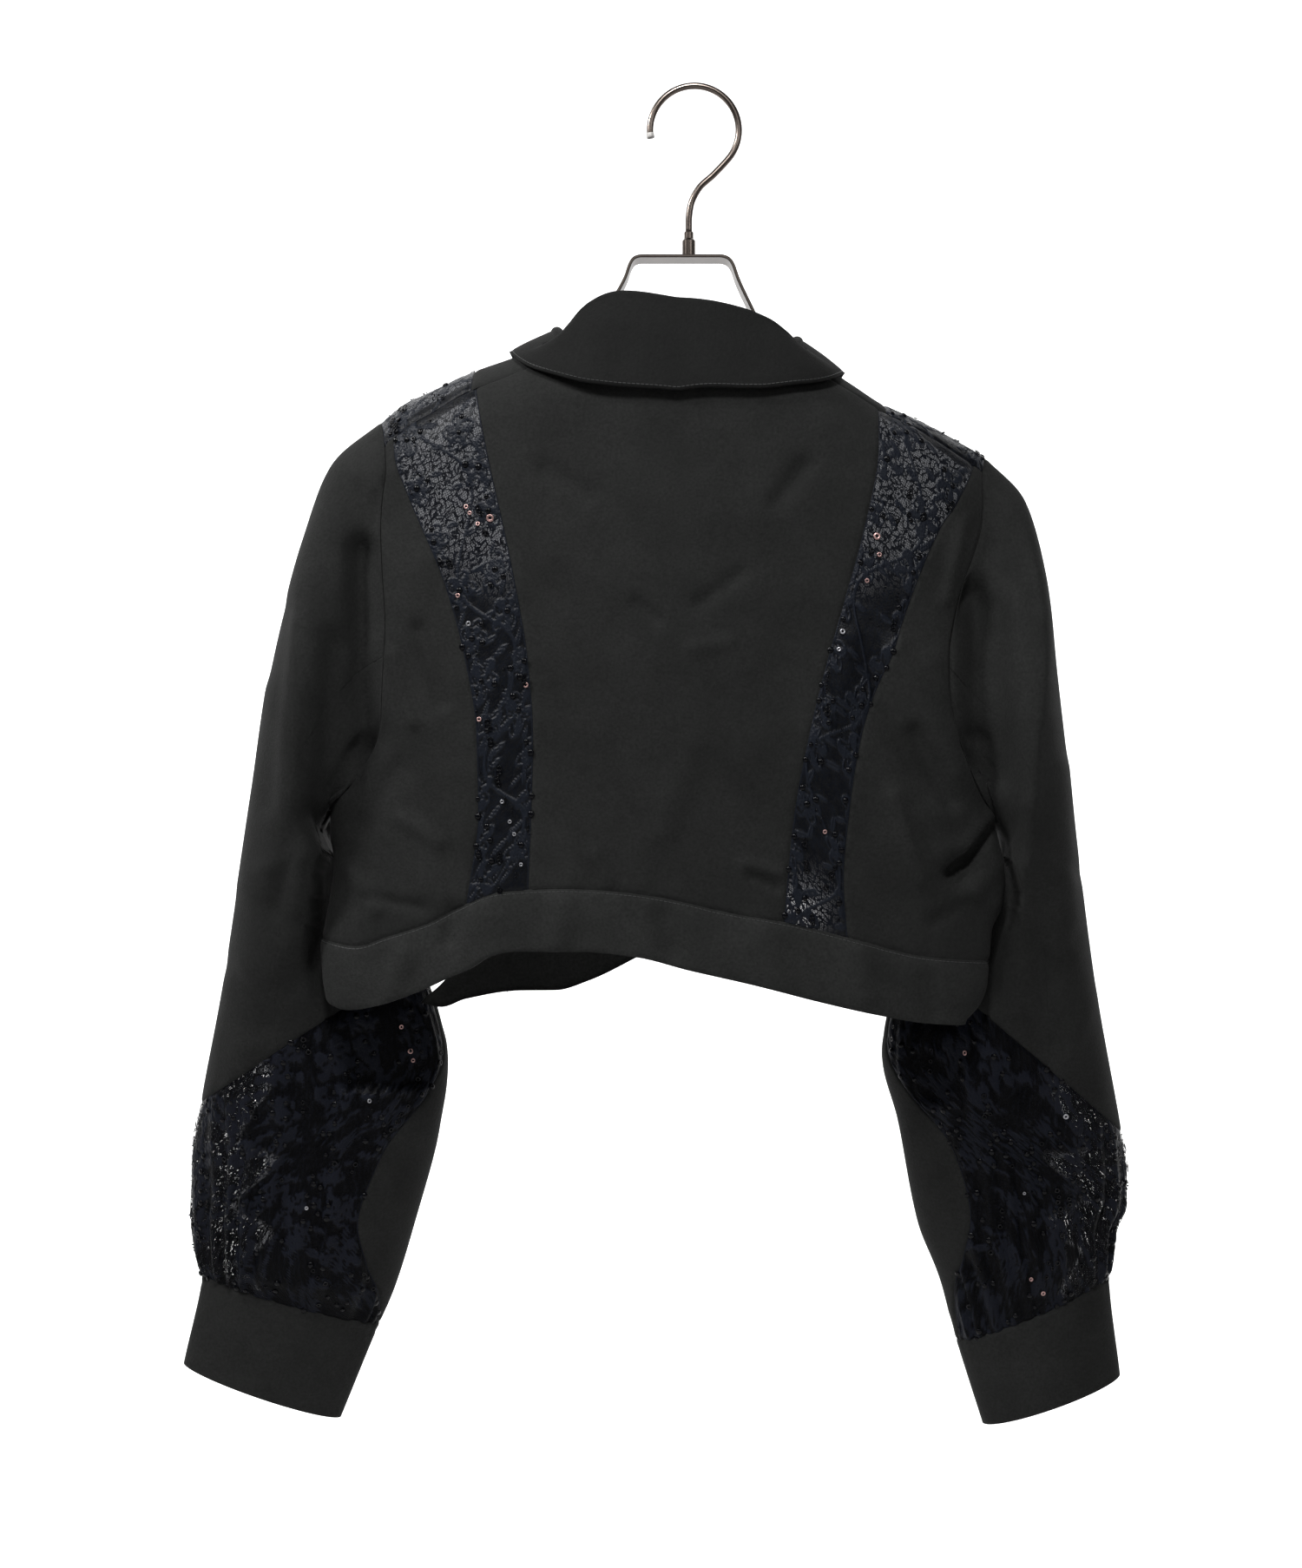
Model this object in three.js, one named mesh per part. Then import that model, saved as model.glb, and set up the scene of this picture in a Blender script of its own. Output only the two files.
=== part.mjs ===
// A cropped blouson in black cloth with curved lace inserts, hanging by its
// shoulders on a metal hanger. Millimetres, +Z up. The back of the garment faces -Y, the
// wearer's left is -X, and the origin is the inside top of the hanger's hook.
//
// Every cloth piece is a thin wall cut from one of two smooth forms, the body and a sleeve.
// Both forms are worked out from the short tables below, so pieces that share a seam share
// the points along it and stay a seam gap apart.
import * as THREE from 'three';

// Driving dimensions
const CLOTH_WALL = 1.4;
const LACE_WALL = 1.1;
const BAND_WALL = 2.2;
const SEAM_GAP = 0.3;
const SHOULDER_ROUND = 45;
const SECTION_POWER = 0.8;
const BAND_HEIGHT = 42;
const LAP_LIFT = 3.7;
const NECK_CENTRE_X = -11;
const NECK_HALF_WIDTH = 73;
const COLLAR_WALL = 1.5;
const COLLAR_FOLD_RADIUS = 2.5;
const COLLAR_END_DEGREES = 168;
const COLLAR_BULGE = 1.2;
const COLLAR_INSET = 1.6;
const COLLAR_RAISE = 1.0;
const LOOP_STEPS = 32;
const SLEEVE_SEAM_STEP = 11;
const GATHER_DEPTH = 1.6;
const SLEEVE_CLEARANCE = 8;
const HOOK_RADIUS = 27.6;
const HOOK_WIRE = 4.2;
const HANGER_BAND_WIDTH = 18;
const HANGER_BAND_WALL = 2;
const HANGER_BELOW_RIDGE = 5.5;
const BUTTON_RADIUS = 6.5;
const BUTTON_WALL = 2.6;

const CLOTH = { color: 0x2a2b2a, roughness: 0.88, metalness: 0 };
const LACE = { color: 0x15171d, roughness: 0.8, metalness: 0 };
const NICKEL = { color: 0xb9b4aa, roughness: 0.28, metalness: 1 };
const HORN = { color: 0x1b1b1c, roughness: 0.45, metalness: 0 };

const degrees = THREE.MathUtils.degToRad;
const mix = THREE.MathUtils.lerp;
const ease = THREE.MathUtils.smoothstep;

// A table is a list of rows whose columns are named once
function table(columns, rows) {
  const names = columns.split(' ');
  return rows.map((row) => Object.fromEntries(names.map((name, i) => [name, row[i]])));
}

// A smooth line through two columns of a table, without overshoot, level outside its ends
function curve(rows, from, to) {
  const points = rows.map((row) => [row[from], row[to]]).sort((a, b) => a[0] - b[0]);
  const last = points.length - 1;
  const rise = points.slice(1).map((point, i) => (point[1] - points[i][1]) / (point[0] - points[i][0]));
  const slope = points.map((point, i) => {
    if (i === 0 || i === last) return rise[i === 0 ? 0 : last - 1];
    const [before, after] = [rise[i - 1], rise[i]];
    return before * after > 0 ? (2 * before * after) / (before + after) : 0;
  });
  return (at) => {
    if (at <= points[0][0]) return points[0][1];
    if (at >= points[last][0]) return points[last][1];
    const i = points.findIndex((point) => point[0] > at) - 1;
    const width = points[i + 1][0] - points[i][0];
    const t = (at - points[i][0]) / width;
    const u = 1 - t;
    return points[i][1] * (1 + 2 * t) * u * u + points[i + 1][1] * (3 - 2 * t) * t * t
      + width * t * u * (slope[i] * u - slope[i + 1] * t);
  };
}

// The line on which the cloth turns over the shoulders, from the left arm to the right
const RIDGE = table('x z', [
  [-229, -226], [-210, -216], [-194, -207], [-177, -195], [-157, -186], [-138, -177], [-115, -169],
  [-87, -159], [-54, -152], [-5, -148], [43, -156], [73, -169], [95, -183], [117, -197],
  [142, -208], [166, -221], [180, -229], [194, -239], [211, -251],
]);

// Body sides and depths, by the distance below the ridge
const SIDES = table('below left right', [
  [0, -226, 187], [222, -226, 187], [240, -226, 191], [253, -224, 193], [270, -225, 191],
  [290, -229, 185], [308, -232, 183], [324, -231, 182], [340, -229, 178], [356, -222, 169],
]);
const DEPTHS = table('below back front', [
  [0, 52, 52], [100, 55, 54], [220, 53, 47], [300, 49, 42], [380, 47, 40],
]);

// Seams, as their distance from the middle plane at each height
const BACK_INNER = table('z left right', [
  [-177, -136, 117], [-205, -131, 112], [-236, -125, 110], [-276, -116, 102], [-320, -107, 90],
  [-358, -101, 79], [-403, -98, 68], [-446, -99, 60], [-493, -101, 55], [-520, -102, 53],
]);
const BACK_OUTER = table('z left right', [
  [-207, -184, 172], [-230, -183, 172], [-260, -173, 160], [-276, -166, 149], [-309, -152, 134],
  [-356, -139, 117], [-401, -132, 100], [-451, -131, 92], [-490, -136, 89], [-530, -143, 92],
]);
const FRONT_PRINCESS = table('z left right', [
  [-177, -136, 117], [-267, -139, 118], [-380, -135, 112], [-530, -128, 108],
]);
const ARMHOLE_LEFT = table('z x', [
  [-207, -194], [-222, -190], [-243, -188], [-259, -190], [-277, -191], [-304, -190], [-339, -188],
  [-371, -190], [-394, -191], [-407, -194], [-416, -198], [-430, -207], [-441, -217], [-448, -226],
]);
const ARMHOLE_RIGHT = table('z x', [
  [-229, 180], [-243, 177], [-259, 177], [-272, 176], [-281, 174], [-295, 169], [-310, 163],
  [-329, 158], [-355, 154], [-373, 154], [-394, 157], [-414, 164], [-433, 173], [-449, 182], [-459, 187],
]);

// Girth along the body at the top edge of the back, and the heights of its hem
const BACK_TOP = table('x girth', [
  [-210, -47], [-184, -46], [-136, -40], [-87, -39], [-7, -39], [74, -33], [117, -28], [172, -33], [200, -33],
]);
const BACK_SEAM = table('x z', [
  [-232, -527], [-208, -531], [-188, -525], [-161, -516], [-144, -507], [-117, -497], [-78, -495],
  [-44, -497], [-12, -502], [18, -509], [52, -515], [92, -525], [141, -537], [183, -541],
]);
const BACK_HEM = table('x z', [
  [-232, -566], [-215, -571], [-197, -568], [-168, -558], [-151, -550], [-137, -544], [-124, -536],
  [-111, -533], [-71, -533], [-37, -536], [-5, -544], [34, -553], [80, -565], [110, -572],
  [141, -578], [183, -582],
]);
const RIGHT_FRONT_HEM = table('x z', [
  [-176, -570], [-160, -574], [-145, -569], [-110, -564], [-88, -564], [-67, -558], [-36, -543],
  [12, -517], [59, -501], [79, -508], [100, -530], [135, -562], [183, -582],
]);

// Front edges: the lapping right front's, its band's seam, and the left front's under it
const FRONT_EDGES = table('z lap seam under', [
  [-222, -35, 20, 14], [-300, -62, -7, 0], [-400, -96, -41, -15], [-500, -132, -93, -35],
  [-530, -142, -111, -40], [-545, -149, -116, -44], [-559, -160, -117, -48], [-570, -173, -117, -50],
]);

// By the angle from the middle of the back: the neckline's girth, the height of the collar's
// stand on the left and right, its lower edge's girth, and that edge's lift off the body
const NECK = table('angle girth left right edge lift', [
  [0, -39, 23, 23, -76, 5], [30, -39, 30, 20.5, -67, 5], [45, -39, 25.5, 17.5, -57, 4.5],
  [60, -39, 15.2, 12.5, -44, 3.6], [75, -36, 8.4, 7.6, -25, 2.8], [95, 0, 6.5, 6, 6, 2.6],
  [110, 30, 6, 6, 42, 4.5], [130, 62, 6, 6, 88, 7.5], [150, 88, 6.6, 6.6, 122, 8],
  [168, 101, 6.6, 6.6, 140, 8], [180, 104, 6, 6, 142, 8],
]);

// Largest folds: a line on the back or front, its width, and its height out of the cloth
const FOLDS = table('face x1 z1 x2 z2 width height', [
  [-1, -192, -398, -214, -436, 10, -5], [-1, -176, -416, -208, -462, 9, -3.5],
  [-1, -160, -290, -186, -350, 12, 2], [-1, 138, -345, 178, -446, 12, 3.5],
  [-1, 178, -458, 152, -492, 9, -6], [-1, 150, -470, 172, -500, 8, 2.5],
  [-1, -125, -508, -118, -548, 14, 3], [-1, 40, -520, 52, -556, 12, 2], [-1, -40, -300, 40, -430, 26, 1.5],
  [1, -150, -420, -60, -520, 16, 3], [1, 150, -400, 60, -470, 16, 3], [1, -190, -380, -150, -450, 12, -3],
]);

// Sleeve rings: outer and inner ends, half the depth, and the middle's distance forward
const LEFT_RINGS = table('ring outX outZ inX inZ half mid', [
  [0, -194, -207, -226, -448, 46, 0], [1, -225, -234, -233, -453, 49, 0],
  [2, -243, -281, -233, -459, 54, 1], [3, -262, -358, -230, -471, 56, 5],
  [4, -275, -433, -219, -492, 55, 13], [5, -287, -493, -212, -510, 50, 24],
  [6, -300, -563, -203, -526, 43, 34], [7, -316, -636, -178, -545, 39, 46],
  [8, -323, -676, -158, -610, 37, 52], [9, -324, -706, -164, -656, 36, 56],
  [10, -321, -732, -180, -716, 34, 58], [10.7, -319, -742, -193, -758, 30, 58],
  [11, -318, -749, -203, -781, 21, 58], [12, -330, -807, -228, -842, 20, 58],
]);
const RIGHT_RINGS = table('ring outX outZ inX inZ half mid', [
  [0, 180, -229, 187, -459, 46, 0], [1, 205, -256, 190, -464, 49, 0], [2, 217, -300, 193, -469, 54, 1],
  [3, 224, -360, 193, -480, 56, 5], [4, 233, -420, 191, -495, 55, 14], [5, 243, -480, 180, -508, 51, 26],
  [6, 256, -560, 165, -522, 45, 36], [7, 275, -655, 140, -541, 40, 46], [8, 279, -682, 122, -604, 38, 51],
  [9, 279, -702, 133, -651, 36, 55], [10, 272, -722, 146, -716, 34, 58], [10.7, 271, -738, 160, -752, 30, 58],
  [11, 270, -750, 171, -792, 24, 58], [12, 277, -814, 188, -846, 23, 58],
]);
// The forearm piece's half width, in steps of the loop round the sleeve
const FOREARM = table('ring half', [
  [7, 0.5], [7.8, 0.9], [8.3, 2.5], [9, 4.8], [9.7, 5.4], [10.4, 4.2], [11, 0.9],
]);
// How deep the lace is gathered down the sleeve, as a share of its depth at the cuff
const GATHERS = table('ring depth', [
  [7, 0], [7.6, 0.3], [8.3, 0.5], [9, 0.7], [9.7, 0.9], [10.4, 1], [11, 0],
]);
const COLLAR_REACH_LEFT = 102;
const COLLAR_REACH_RIGHT = 102;

// Middle of the hanger's band over the neck, the hook's stem and the ferrule's profile
const HANGER_MIDDLE = table('x z', [
  [-81, -166], [-67, -154], [-51, -133], [-43, -119], [-39.5, -109.5], [-37, -106.6], [-33, -105.6],
  [16, -105.6], [20, -106.6], [23, -109.5], [27, -120], [34, -135], [43, -153], [51, -166], [61, -173],
]);
const HANGER_ARM_LEFT = [-172, -158, -142, -124, -106, -92];
const HANGER_ARM_RIGHT = [74, 92, 114, 132, 146, 158];
const HOOK_STEM = table('x z', [[12, -53], [2.5, -62], [-2.5, -73], [-3.5, -82], [-3.5, -88.5]]);
const FERRULE = table('radius z', [
  [0, -104.3], [4.1, -104.3], [4.1, -94], [2.9, -93], [2.9, -88.8], [0, -88.8],
]);
const SLEEVE_ROWS = [0, 0.45, 1, 1.6, 2.3, 3.1, 3.9, 4.7, 5.4, 6.2, 7];
const LACE_ROWS = [7, 7.6, 8.3, 9, 9.7, 10.4, 11];
const CUFF_ROWS = [11, 11.5, 12];
const BACK_ARM_ROWS = 14;
const FRONT_ARM_ROWS = 18;
const FRONT_LACE_ROWS = 11;
const ROWS_OVER_RIDGE = 2;
const LOWER_ROWS = 5;
const BACK_ROWS = BACK_ARM_ROWS + LOWER_ROWS;
const FRONT_ROWS = FRONT_ARM_ROWS + LOWER_ROWS;
const BAND_ROWS = 3;
const NECK_ROWS = 10;
const CENTRE_COLUMNS = 8;
const LACE_COLUMNS = 26;
const COLLAR_COLUMNS = 24;
const STAND_ROWS = 3;

// Where the neckline turns from the shoulder seam and over the ridge, and where each front
// ends on it, in degrees from the middle of the back
const NECK_CORNER = 75;
const NECK_OVER_RIDGE = 95;
const UNDER_ANGLE = 195;
const BAND_ANGLE = 161;
const LAP_ANGLE = 200;
const FRONT_LACE_Z = -267;

// Small clearances: round the armhole, under the arm, and in steps and rings of a sleeve
const ARMHOLE_GAP = 0.45;
const PIT_GAP = 1.4;
const STEP_GAP = 0.03;
const RING_GAP = 0.008;
const ARMHOLE_FADES_AT = 2.4;
const BUTTON_INSET = 16;
const BUTTON_SEAT = 0.85;
const BUTTON_HEIGHTS = [-262, -352, -440];

const ridgeZ = curve(RIDGE, 'x', 'z');
const sideLeft = curve(SIDES, 'below', 'left');
const sideRight = curve(SIDES, 'below', 'right');
const depthBack = curve(DEPTHS, 'below', 'back');
const depthFront = curve(DEPTHS, 'below', 'front');
const backTop = curve(BACK_TOP, 'x', 'girth');
const neckGirth = curve(NECK, 'angle', 'girth');

// Girth runs along the cloth from the ridge, down the back when negative and the front when
// positive. These two turn it into the height below the ridge and back.
function dropOf(girth) {
  const turn = Math.abs(girth) / SHOULDER_ROUND;
  if (turn < Math.PI / 2) return SHOULDER_ROUND * (1 - Math.cos(turn));
  return SHOULDER_ROUND * (1 - Math.PI / 2) + Math.abs(girth);
}
function girthOf(drop) {
  if (drop < SHOULDER_ROUND) return SHOULDER_ROUND * Math.acos(1 - Math.max(drop, 0) / SHOULDER_ROUND);
  return drop - SHOULDER_ROUND * (1 - Math.PI / 2);
}

// How far the folds on one face lift the cloth at a point
function foldLift(face, x, z) {
  let lift = 0;
  for (const fold of FOLDS) {
    if (fold.face !== face) continue;
    const [dx, dz] = [fold.x2 - fold.x1, fold.z2 - fold.z1];
    const along = ((x - fold.x1) * dx + (z - fold.z1) * dz) / (dx * dx + dz * dz);
    const held = Math.min(Math.max(along, 0.15), 0.85);
    const away = Math.hypot(x - fold.x1 - held * dx, z - fold.z1 - held * dz) / fold.width;
    lift += fold.height * Math.exp(-away * away);
  }
  return lift;
}

// A point of the body, from its angle across (-90 to 90 degrees) and its girth
function bodyPoint(angle, girth) {
  const below = dropOf(girth);
  const [left, right] = [sideLeft(below), sideRight(below)];
  const x = (left + right) / 2 + ((right - left) / 2) * Math.sin(angle);
  const z = ridgeZ(x) - below;
  const face = girth < 0 ? -1 : 1;
  const turn = Math.sin(Math.min(Math.abs(girth) / SHOULDER_ROUND, Math.PI / 2));
  const across = Math.pow(Math.max(Math.cos(angle), 0), SECTION_POWER);
  const depth = (face < 0 ? depthBack : depthFront)(below) * turn * across;
  const lift = foldLift(face, x, z) * turn * Math.min(1, 1.5 * across);
  return new THREE.Vector3(x, face * (depth + lift), z);
}

// The angle across the body at a point given by its distance from the middle plane
function angleAt(x, girth) {
  const below = dropOf(girth);
  const [left, right] = [sideLeft(below), sideRight(below)];
  const sine = (x - (left + right) / 2) / ((right - left) / 2);
  return Math.asin(Math.min(Math.max(sine, -1), 1));
}
const SIDE_ANGLE = degrees(89.93);
const onBody = (x, girth) => ({ a: angleAt(x, girth), b: girth });
const onBodyAt = (face, x, z) => onBody(x, face * girthOf(ridgeZ(x) - z));

// A seam followed down the body: its distance at each height, between two girths
function seam(xOfZ, from, to, count, shift) {
  return Array.from({ length: count + 1 }, (_, i) => {
    const girth = mix(from, to, i / count);
    let x = xOfZ(ridgeZ(0));
    for (let pass = 0; pass < 12; pass += 1) x = xOfZ(ridgeZ(x) - dropOf(girth));
    return onBody(x + shift, girth);
  });
}

// The girth at which a seam crosses a line of heights on one face
function crossing(face, xOfZ, zOfX) {
  let z = zOfX(0);
  for (let pass = 0; pass < 40; pass += 1) z = mix(z, zOfX(xOfZ(z)), 0.6);
  return face * girthOf(ridgeZ(xOfZ(z)) - z);
}

// A line across the body between two of its points, at the heights or girths of a rule
function across(start, end, count, girthRule) {
  return Array.from({ length: count + 1 }, (_, i) => {
    if (i === 0) return start;
    if (i === count) return end;
    const point = { a: mix(start.a, end.a, i / count), b: mix(start.b, end.b, i / count) };
    for (let pass = 0; girthRule && pass < 8; pass += 1) point.b = girthRule(bodyPoint(point.a, point.b).x);
    return point;
  });
}

// A grid of form coordinates between four edges that meet at their ends
function patch(top, bottom, left, right) {
  const [columns, rows] = [top.length - 1, left.length - 1];
  const blend = (i, j, key) => {
    const [u, t] = [i / columns, j / rows];
    const corners = (1 - u) * (1 - t) * top[0][key] + u * (1 - t) * top[columns][key]
      + (1 - u) * t * bottom[0][key] + u * t * bottom[columns][key];
    return (1 - t) * top[i][key] + t * bottom[i][key] + (1 - u) * left[j][key] + u * right[j][key] - corners;
  };
  return left.map((_, j) => top.map((__, i) => ({ a: blend(i, j, 'a'), b: blend(i, j, 'b') })));
}

// The outward direction of a form at one of its points, by small steps along both of its lines
function outward(form, point, step, inside) {
  const here = form(point.a, point.b);
  const alongA = form(point.a + step.a, point.b).sub(here).multiplyScalar(Math.sign(step.a));
  const alongB = form(point.a, point.b + step.b).sub(here);
  const normal = alongA.cross(alongB).normalize();
  return normal.dot(here.clone().sub(inside)) < 0 ? normal.negate() : normal;
}
function bodyOutward(point) {
  const here = bodyPoint(point.a, point.b);
  const step = { a: point.a > 0 ? -0.004 : 0.004, b: 0.2 };
  return outward(bodyPoint, point, step, new THREE.Vector3(here.x * 0.9 - 2, 0, here.z - 14));
}

// A closed wall between an outer and an inner grid of points
function wallGeometry(outer, inner, closedRound = false) {
  const [rows, columns] = [outer.length, outer[0].length];
  const points = [...outer.flat(), ...inner.flat()];
  const at = (face, j, i) => face * rows * columns + j * columns + (i % columns);
  const index = [];
  const quad = (a, b, c, d) => index.push(a, b, c, a, c, d);
  const spans = closedRound ? columns : columns - 1;
  for (let i = 0; i < spans; i += 1) {
    for (let j = 0; j < rows - 1; j += 1) {
      quad(at(0, j, i), at(0, j + 1, i), at(0, j + 1, i + 1), at(0, j, i + 1));
      quad(at(1, j, i), at(1, j, i + 1), at(1, j + 1, i + 1), at(1, j + 1, i));
    }
    quad(at(0, 0, i), at(0, 0, i + 1), at(1, 0, i + 1), at(1, 0, i));
    quad(at(0, rows - 1, i), at(1, rows - 1, i), at(1, rows - 1, i + 1), at(0, rows - 1, i + 1));
  }
  if (!closedRound) {
    for (let j = 0; j < rows - 1; j += 1) {
      quad(at(0, j, 0), at(1, j, 0), at(1, j + 1, 0), at(0, j + 1, 0));
      const end = columns - 1;
      quad(at(0, j, end), at(0, j + 1, end), at(1, j + 1, end), at(1, j, end));
    }
  }
  let volume = 0;
  for (let i = 0; i < index.length; i += 3) {
    const [a, b, c] = [points[index[i]], points[index[i + 1]], points[index[i + 2]]];
    volume += a.dot(b.clone().cross(c));
  }
  if (volume < 0) index.reverse();
  const geometry = new THREE.BufferGeometry();
  geometry.setAttribute('position', new THREE.Float32BufferAttribute(points.flatMap((p) => p.toArray()), 3));
  geometry.setIndex(index);
  geometry.computeVertexNormals();
  return geometry;
}

const blouson = new THREE.Group();
function add(name, geometry, finish) {
  const mesh = new THREE.Mesh(geometry, new THREE.MeshStandardMaterial(finish));
  mesh.name = name;
  blouson.add(mesh);
}

// A wall on the body's form, moved out by a rule where one piece laps over another
function addBodyPiece(name, grid, wall, finish, lift = () => 0) {
  const outer = [];
  const inner = [];
  for (const row of grid) {
    const points = row.map((cell) => {
      const place = { a: Math.min(Math.max(cell.a, -SIDE_ANGLE), SIDE_ANGLE), b: cell.b };
      return { surface: bodyPoint(place.a, place.b), normal: bodyOutward(place) };
    });
    const raised = points.map(({ surface, normal }) => (
      surface.clone().addScaledVector(normal, lift(surface))));
    outer.push(raised);
    inner.push(raised.map((point, i) => point.clone().addScaledVector(points[i].normal, -wall)));
  }
  add(name, wallGeometry(outer, inner), finish);
}

// Body edges for one side of the garment. Hand is -1 for the wearer's left, 1 for the right.
function bodySide(hand) {
  const key = hand < 0 ? 'left' : 'right';
  const armholeRows = hand < 0 ? ARMHOLE_LEFT : ARMHOLE_RIGHT;
  const lines = {
    inner: curve(BACK_INNER, 'z', key),
    outer: curve(BACK_OUTER, 'z', key),
    princess: curve(FRONT_PRINCESS, 'z', key),
    armhole: curve(armholeRows, 'z', 'x'),
  };
  const topGirth = (line) => {
    let x = line(ridgeZ(0) - 60);
    for (let pass = 0; pass < 12; pass += 1) x = line(ridgeZ(x) - dropOf(backTop(x)));
    return backTop(x);
  };
  const pit = armholeRows.at(-1);
  const pitGirth = girthOf(ridgeZ(pit.x) - pit.z);
  const side = (face, hem) => Array.from({ length: LOWER_ROWS }, (_, i) => ({
    a: hand * SIDE_ANGLE,
    b: face * mix(pitGirth, girthOf(ridgeZ(pit.x) - hem(pit.x)), (i + 1) / LOWER_ROWS),
  }));
  const armTop = topGirth(lines.armhole);
  const backArm = seam(lines.armhole, armTop, -pitGirth, BACK_ARM_ROWS, 0);
  const frontArm = [
    ...seam(lines.armhole, armTop, 0, ROWS_OVER_RIDGE, 0),
    ...seam(lines.armhole, 0, pitGirth, FRONT_ARM_ROWS - ROWS_OVER_RIDGE, 0).slice(1),
  ];
  backArm.at(-1).a = hand * SIDE_ANGLE;
  frontArm.at(-1).a = hand * SIDE_ANGLE;
  return { hand, lines, topGirth, side, backArm, frontArm };
}
const LEFT = bodySide(-1);
const RIGHT = bodySide(1);
const HALF_GAP = SEAM_GAP / 2;
const girthAtHeight = (face, zOfX) => (x) => face * girthOf(ridgeZ(x) - zOfX(x));

// The back: a centre panel, two curved lace inserts and two side panels
function addBack() {
  const hem = curve(BACK_SEAM, 'x', 'z');
  const hemEdge = [];
  const full = ({ topGirth }, line, shift) => (
    seam(line, topGirth(line), crossing(-1, line, hem), BACK_ROWS, shift));
  const addPanel = (name, from, to, columns, wall, finish) => {
    const top = across(from[0], to[0], columns, backTop);
    const bottom = across(from.at(-1), to.at(-1), columns, girthAtHeight(-1, hem));
    addBodyPiece(name, patch(top, bottom, from, to), wall, finish);
    hemEdge.push(...bottom.slice(hemEdge.length ? 1 : 0));
  };
  const outerEdge = (body) => [...body.backArm, ...body.side(-1, hem)];
  addPanel('back_side_left', outerEdge(LEFT), full(LEFT, LEFT.lines.outer, -HALF_GAP), 5, CLOTH_WALL, CLOTH);
  addPanel('back_lace_left', full(LEFT, LEFT.lines.outer, HALF_GAP),
    full(LEFT, LEFT.lines.inner, -HALF_GAP), 4, LACE_WALL, LACE);
  addPanel('back_centre', full(LEFT, LEFT.lines.inner, HALF_GAP),
    full(RIGHT, RIGHT.lines.inner, -HALF_GAP), 10, CLOTH_WALL, CLOTH);
  addPanel('back_lace_right', full(RIGHT, RIGHT.lines.inner, HALF_GAP),
    full(RIGHT, RIGHT.lines.outer, -HALF_GAP), 4, LACE_WALL, LACE);
  addPanel('back_side_right', full(RIGHT, RIGHT.lines.outer, HALF_GAP), outerEdge(RIGHT),
    5, CLOTH_WALL, CLOTH);
  addHemBand('hem_band_back', -1, hemEdge, curve(BACK_HEM, 'x', 'z'));
}

// A hem band below a row of panels, down to the height that a rule gives
function addHemBand(name, face, topEdge, hemOfX, lift, start) {
  const top = topEdge.map((cell) => ({ a: cell.a, b: cell.b + face * SEAM_GAP }));
  const end = (cell) => ({ a: cell.a, b: girthAtHeight(face, hemOfX)(bodyPoint(cell.a, cell.b).x) });
  const side = (cell) => straight(cell, end(cell), BAND_ROWS);
  const first = start ?? side(top[0]);
  first[0] = top[0];
  const last = side(top.at(-1));
  const bottom = across(first.at(-1), last.at(-1), top.length - 1, girthAtHeight(face, hemOfX));
  const level = top.map((cell, i) => {
    const drift = (first.at(-1).a - first[0].a) * (1 - i / (top.length - 1)) ** 6;
    return { ...bottom[i], a: cell.a + drift };
  });
  level.forEach((cell, i) => {
    if (i > 0 && i < level.length - 1) cell.b = end({ a: cell.a, b: bottom[i].b }).b;
  });
  addBodyPiece(name, patch(top, level, first, last), BAND_WALL, CLOTH, lift);
}
const straight = (from, to, count) => Array.from({ length: count + 1 }, (_, i) => ({
  a: mix(from.a, to.a, i / count), b: mix(from.b, to.b, i / count),
}));

// A point of the neckline, by its angle from the middle of the back: the left is positive,
// and past 180 degrees it has crossed the middle of the front
function neckCell(angle) {
  const x = NECK_CENTRE_X - NECK_HALF_WIDTH * Math.sin(degrees(angle));
  const turned = Math.abs(angle) > 180 ? 360 - Math.abs(angle) : Math.abs(angle);
  if (turned <= NECK_CORNER) return onBody(x, backTop(x));
  if (turned < NECK_OVER_RIDGE) {
    const cornerX = NECK_CENTRE_X - Math.sign(angle) * NECK_HALF_WIDTH * Math.sin(degrees(NECK_CORNER));
    return onBody(x, mix(backTop(cornerX), 0, (turned - NECK_CORNER) / (NECK_OVER_RIDGE - NECK_CORNER)));
  }
  return onBody(x, neckGirth(turned));
}
function neckEdge(from, to, count) {
  return Array.from({ length: count + 1 }, (_, i) => neckCell(mix(from, to, i / count)));
}

// One side of the front: lace over the shoulder, a side panel below it, and a centre panel
function frontEdges(body, hem) {
  const { lines, topGirth, hand } = body;
  const laceLow = girthOf(ridgeZ(lines.princess(FRONT_LACE_Z)) - FRONT_LACE_Z);
  const hemGirth = crossing(1, lines.princess, hem);
  const princess = (shift) => [
    ...seam(lines.princess, topGirth(lines.princess), 0, ROWS_OVER_RIDGE, shift),
    ...seam(lines.princess, 0, laceLow, FRONT_LACE_ROWS - ROWS_OVER_RIDGE, shift).slice(1),
    ...seam(lines.princess, laceLow, hemGirth, FRONT_ROWS - FRONT_LACE_ROWS, shift).slice(1),
  ];
  return {
    outside: [...body.frontArm, ...body.side(1, hem)],
    inside: princess(hand * HALF_GAP),
    centre: princess(-hand * HALF_GAP),
  };
}
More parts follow.
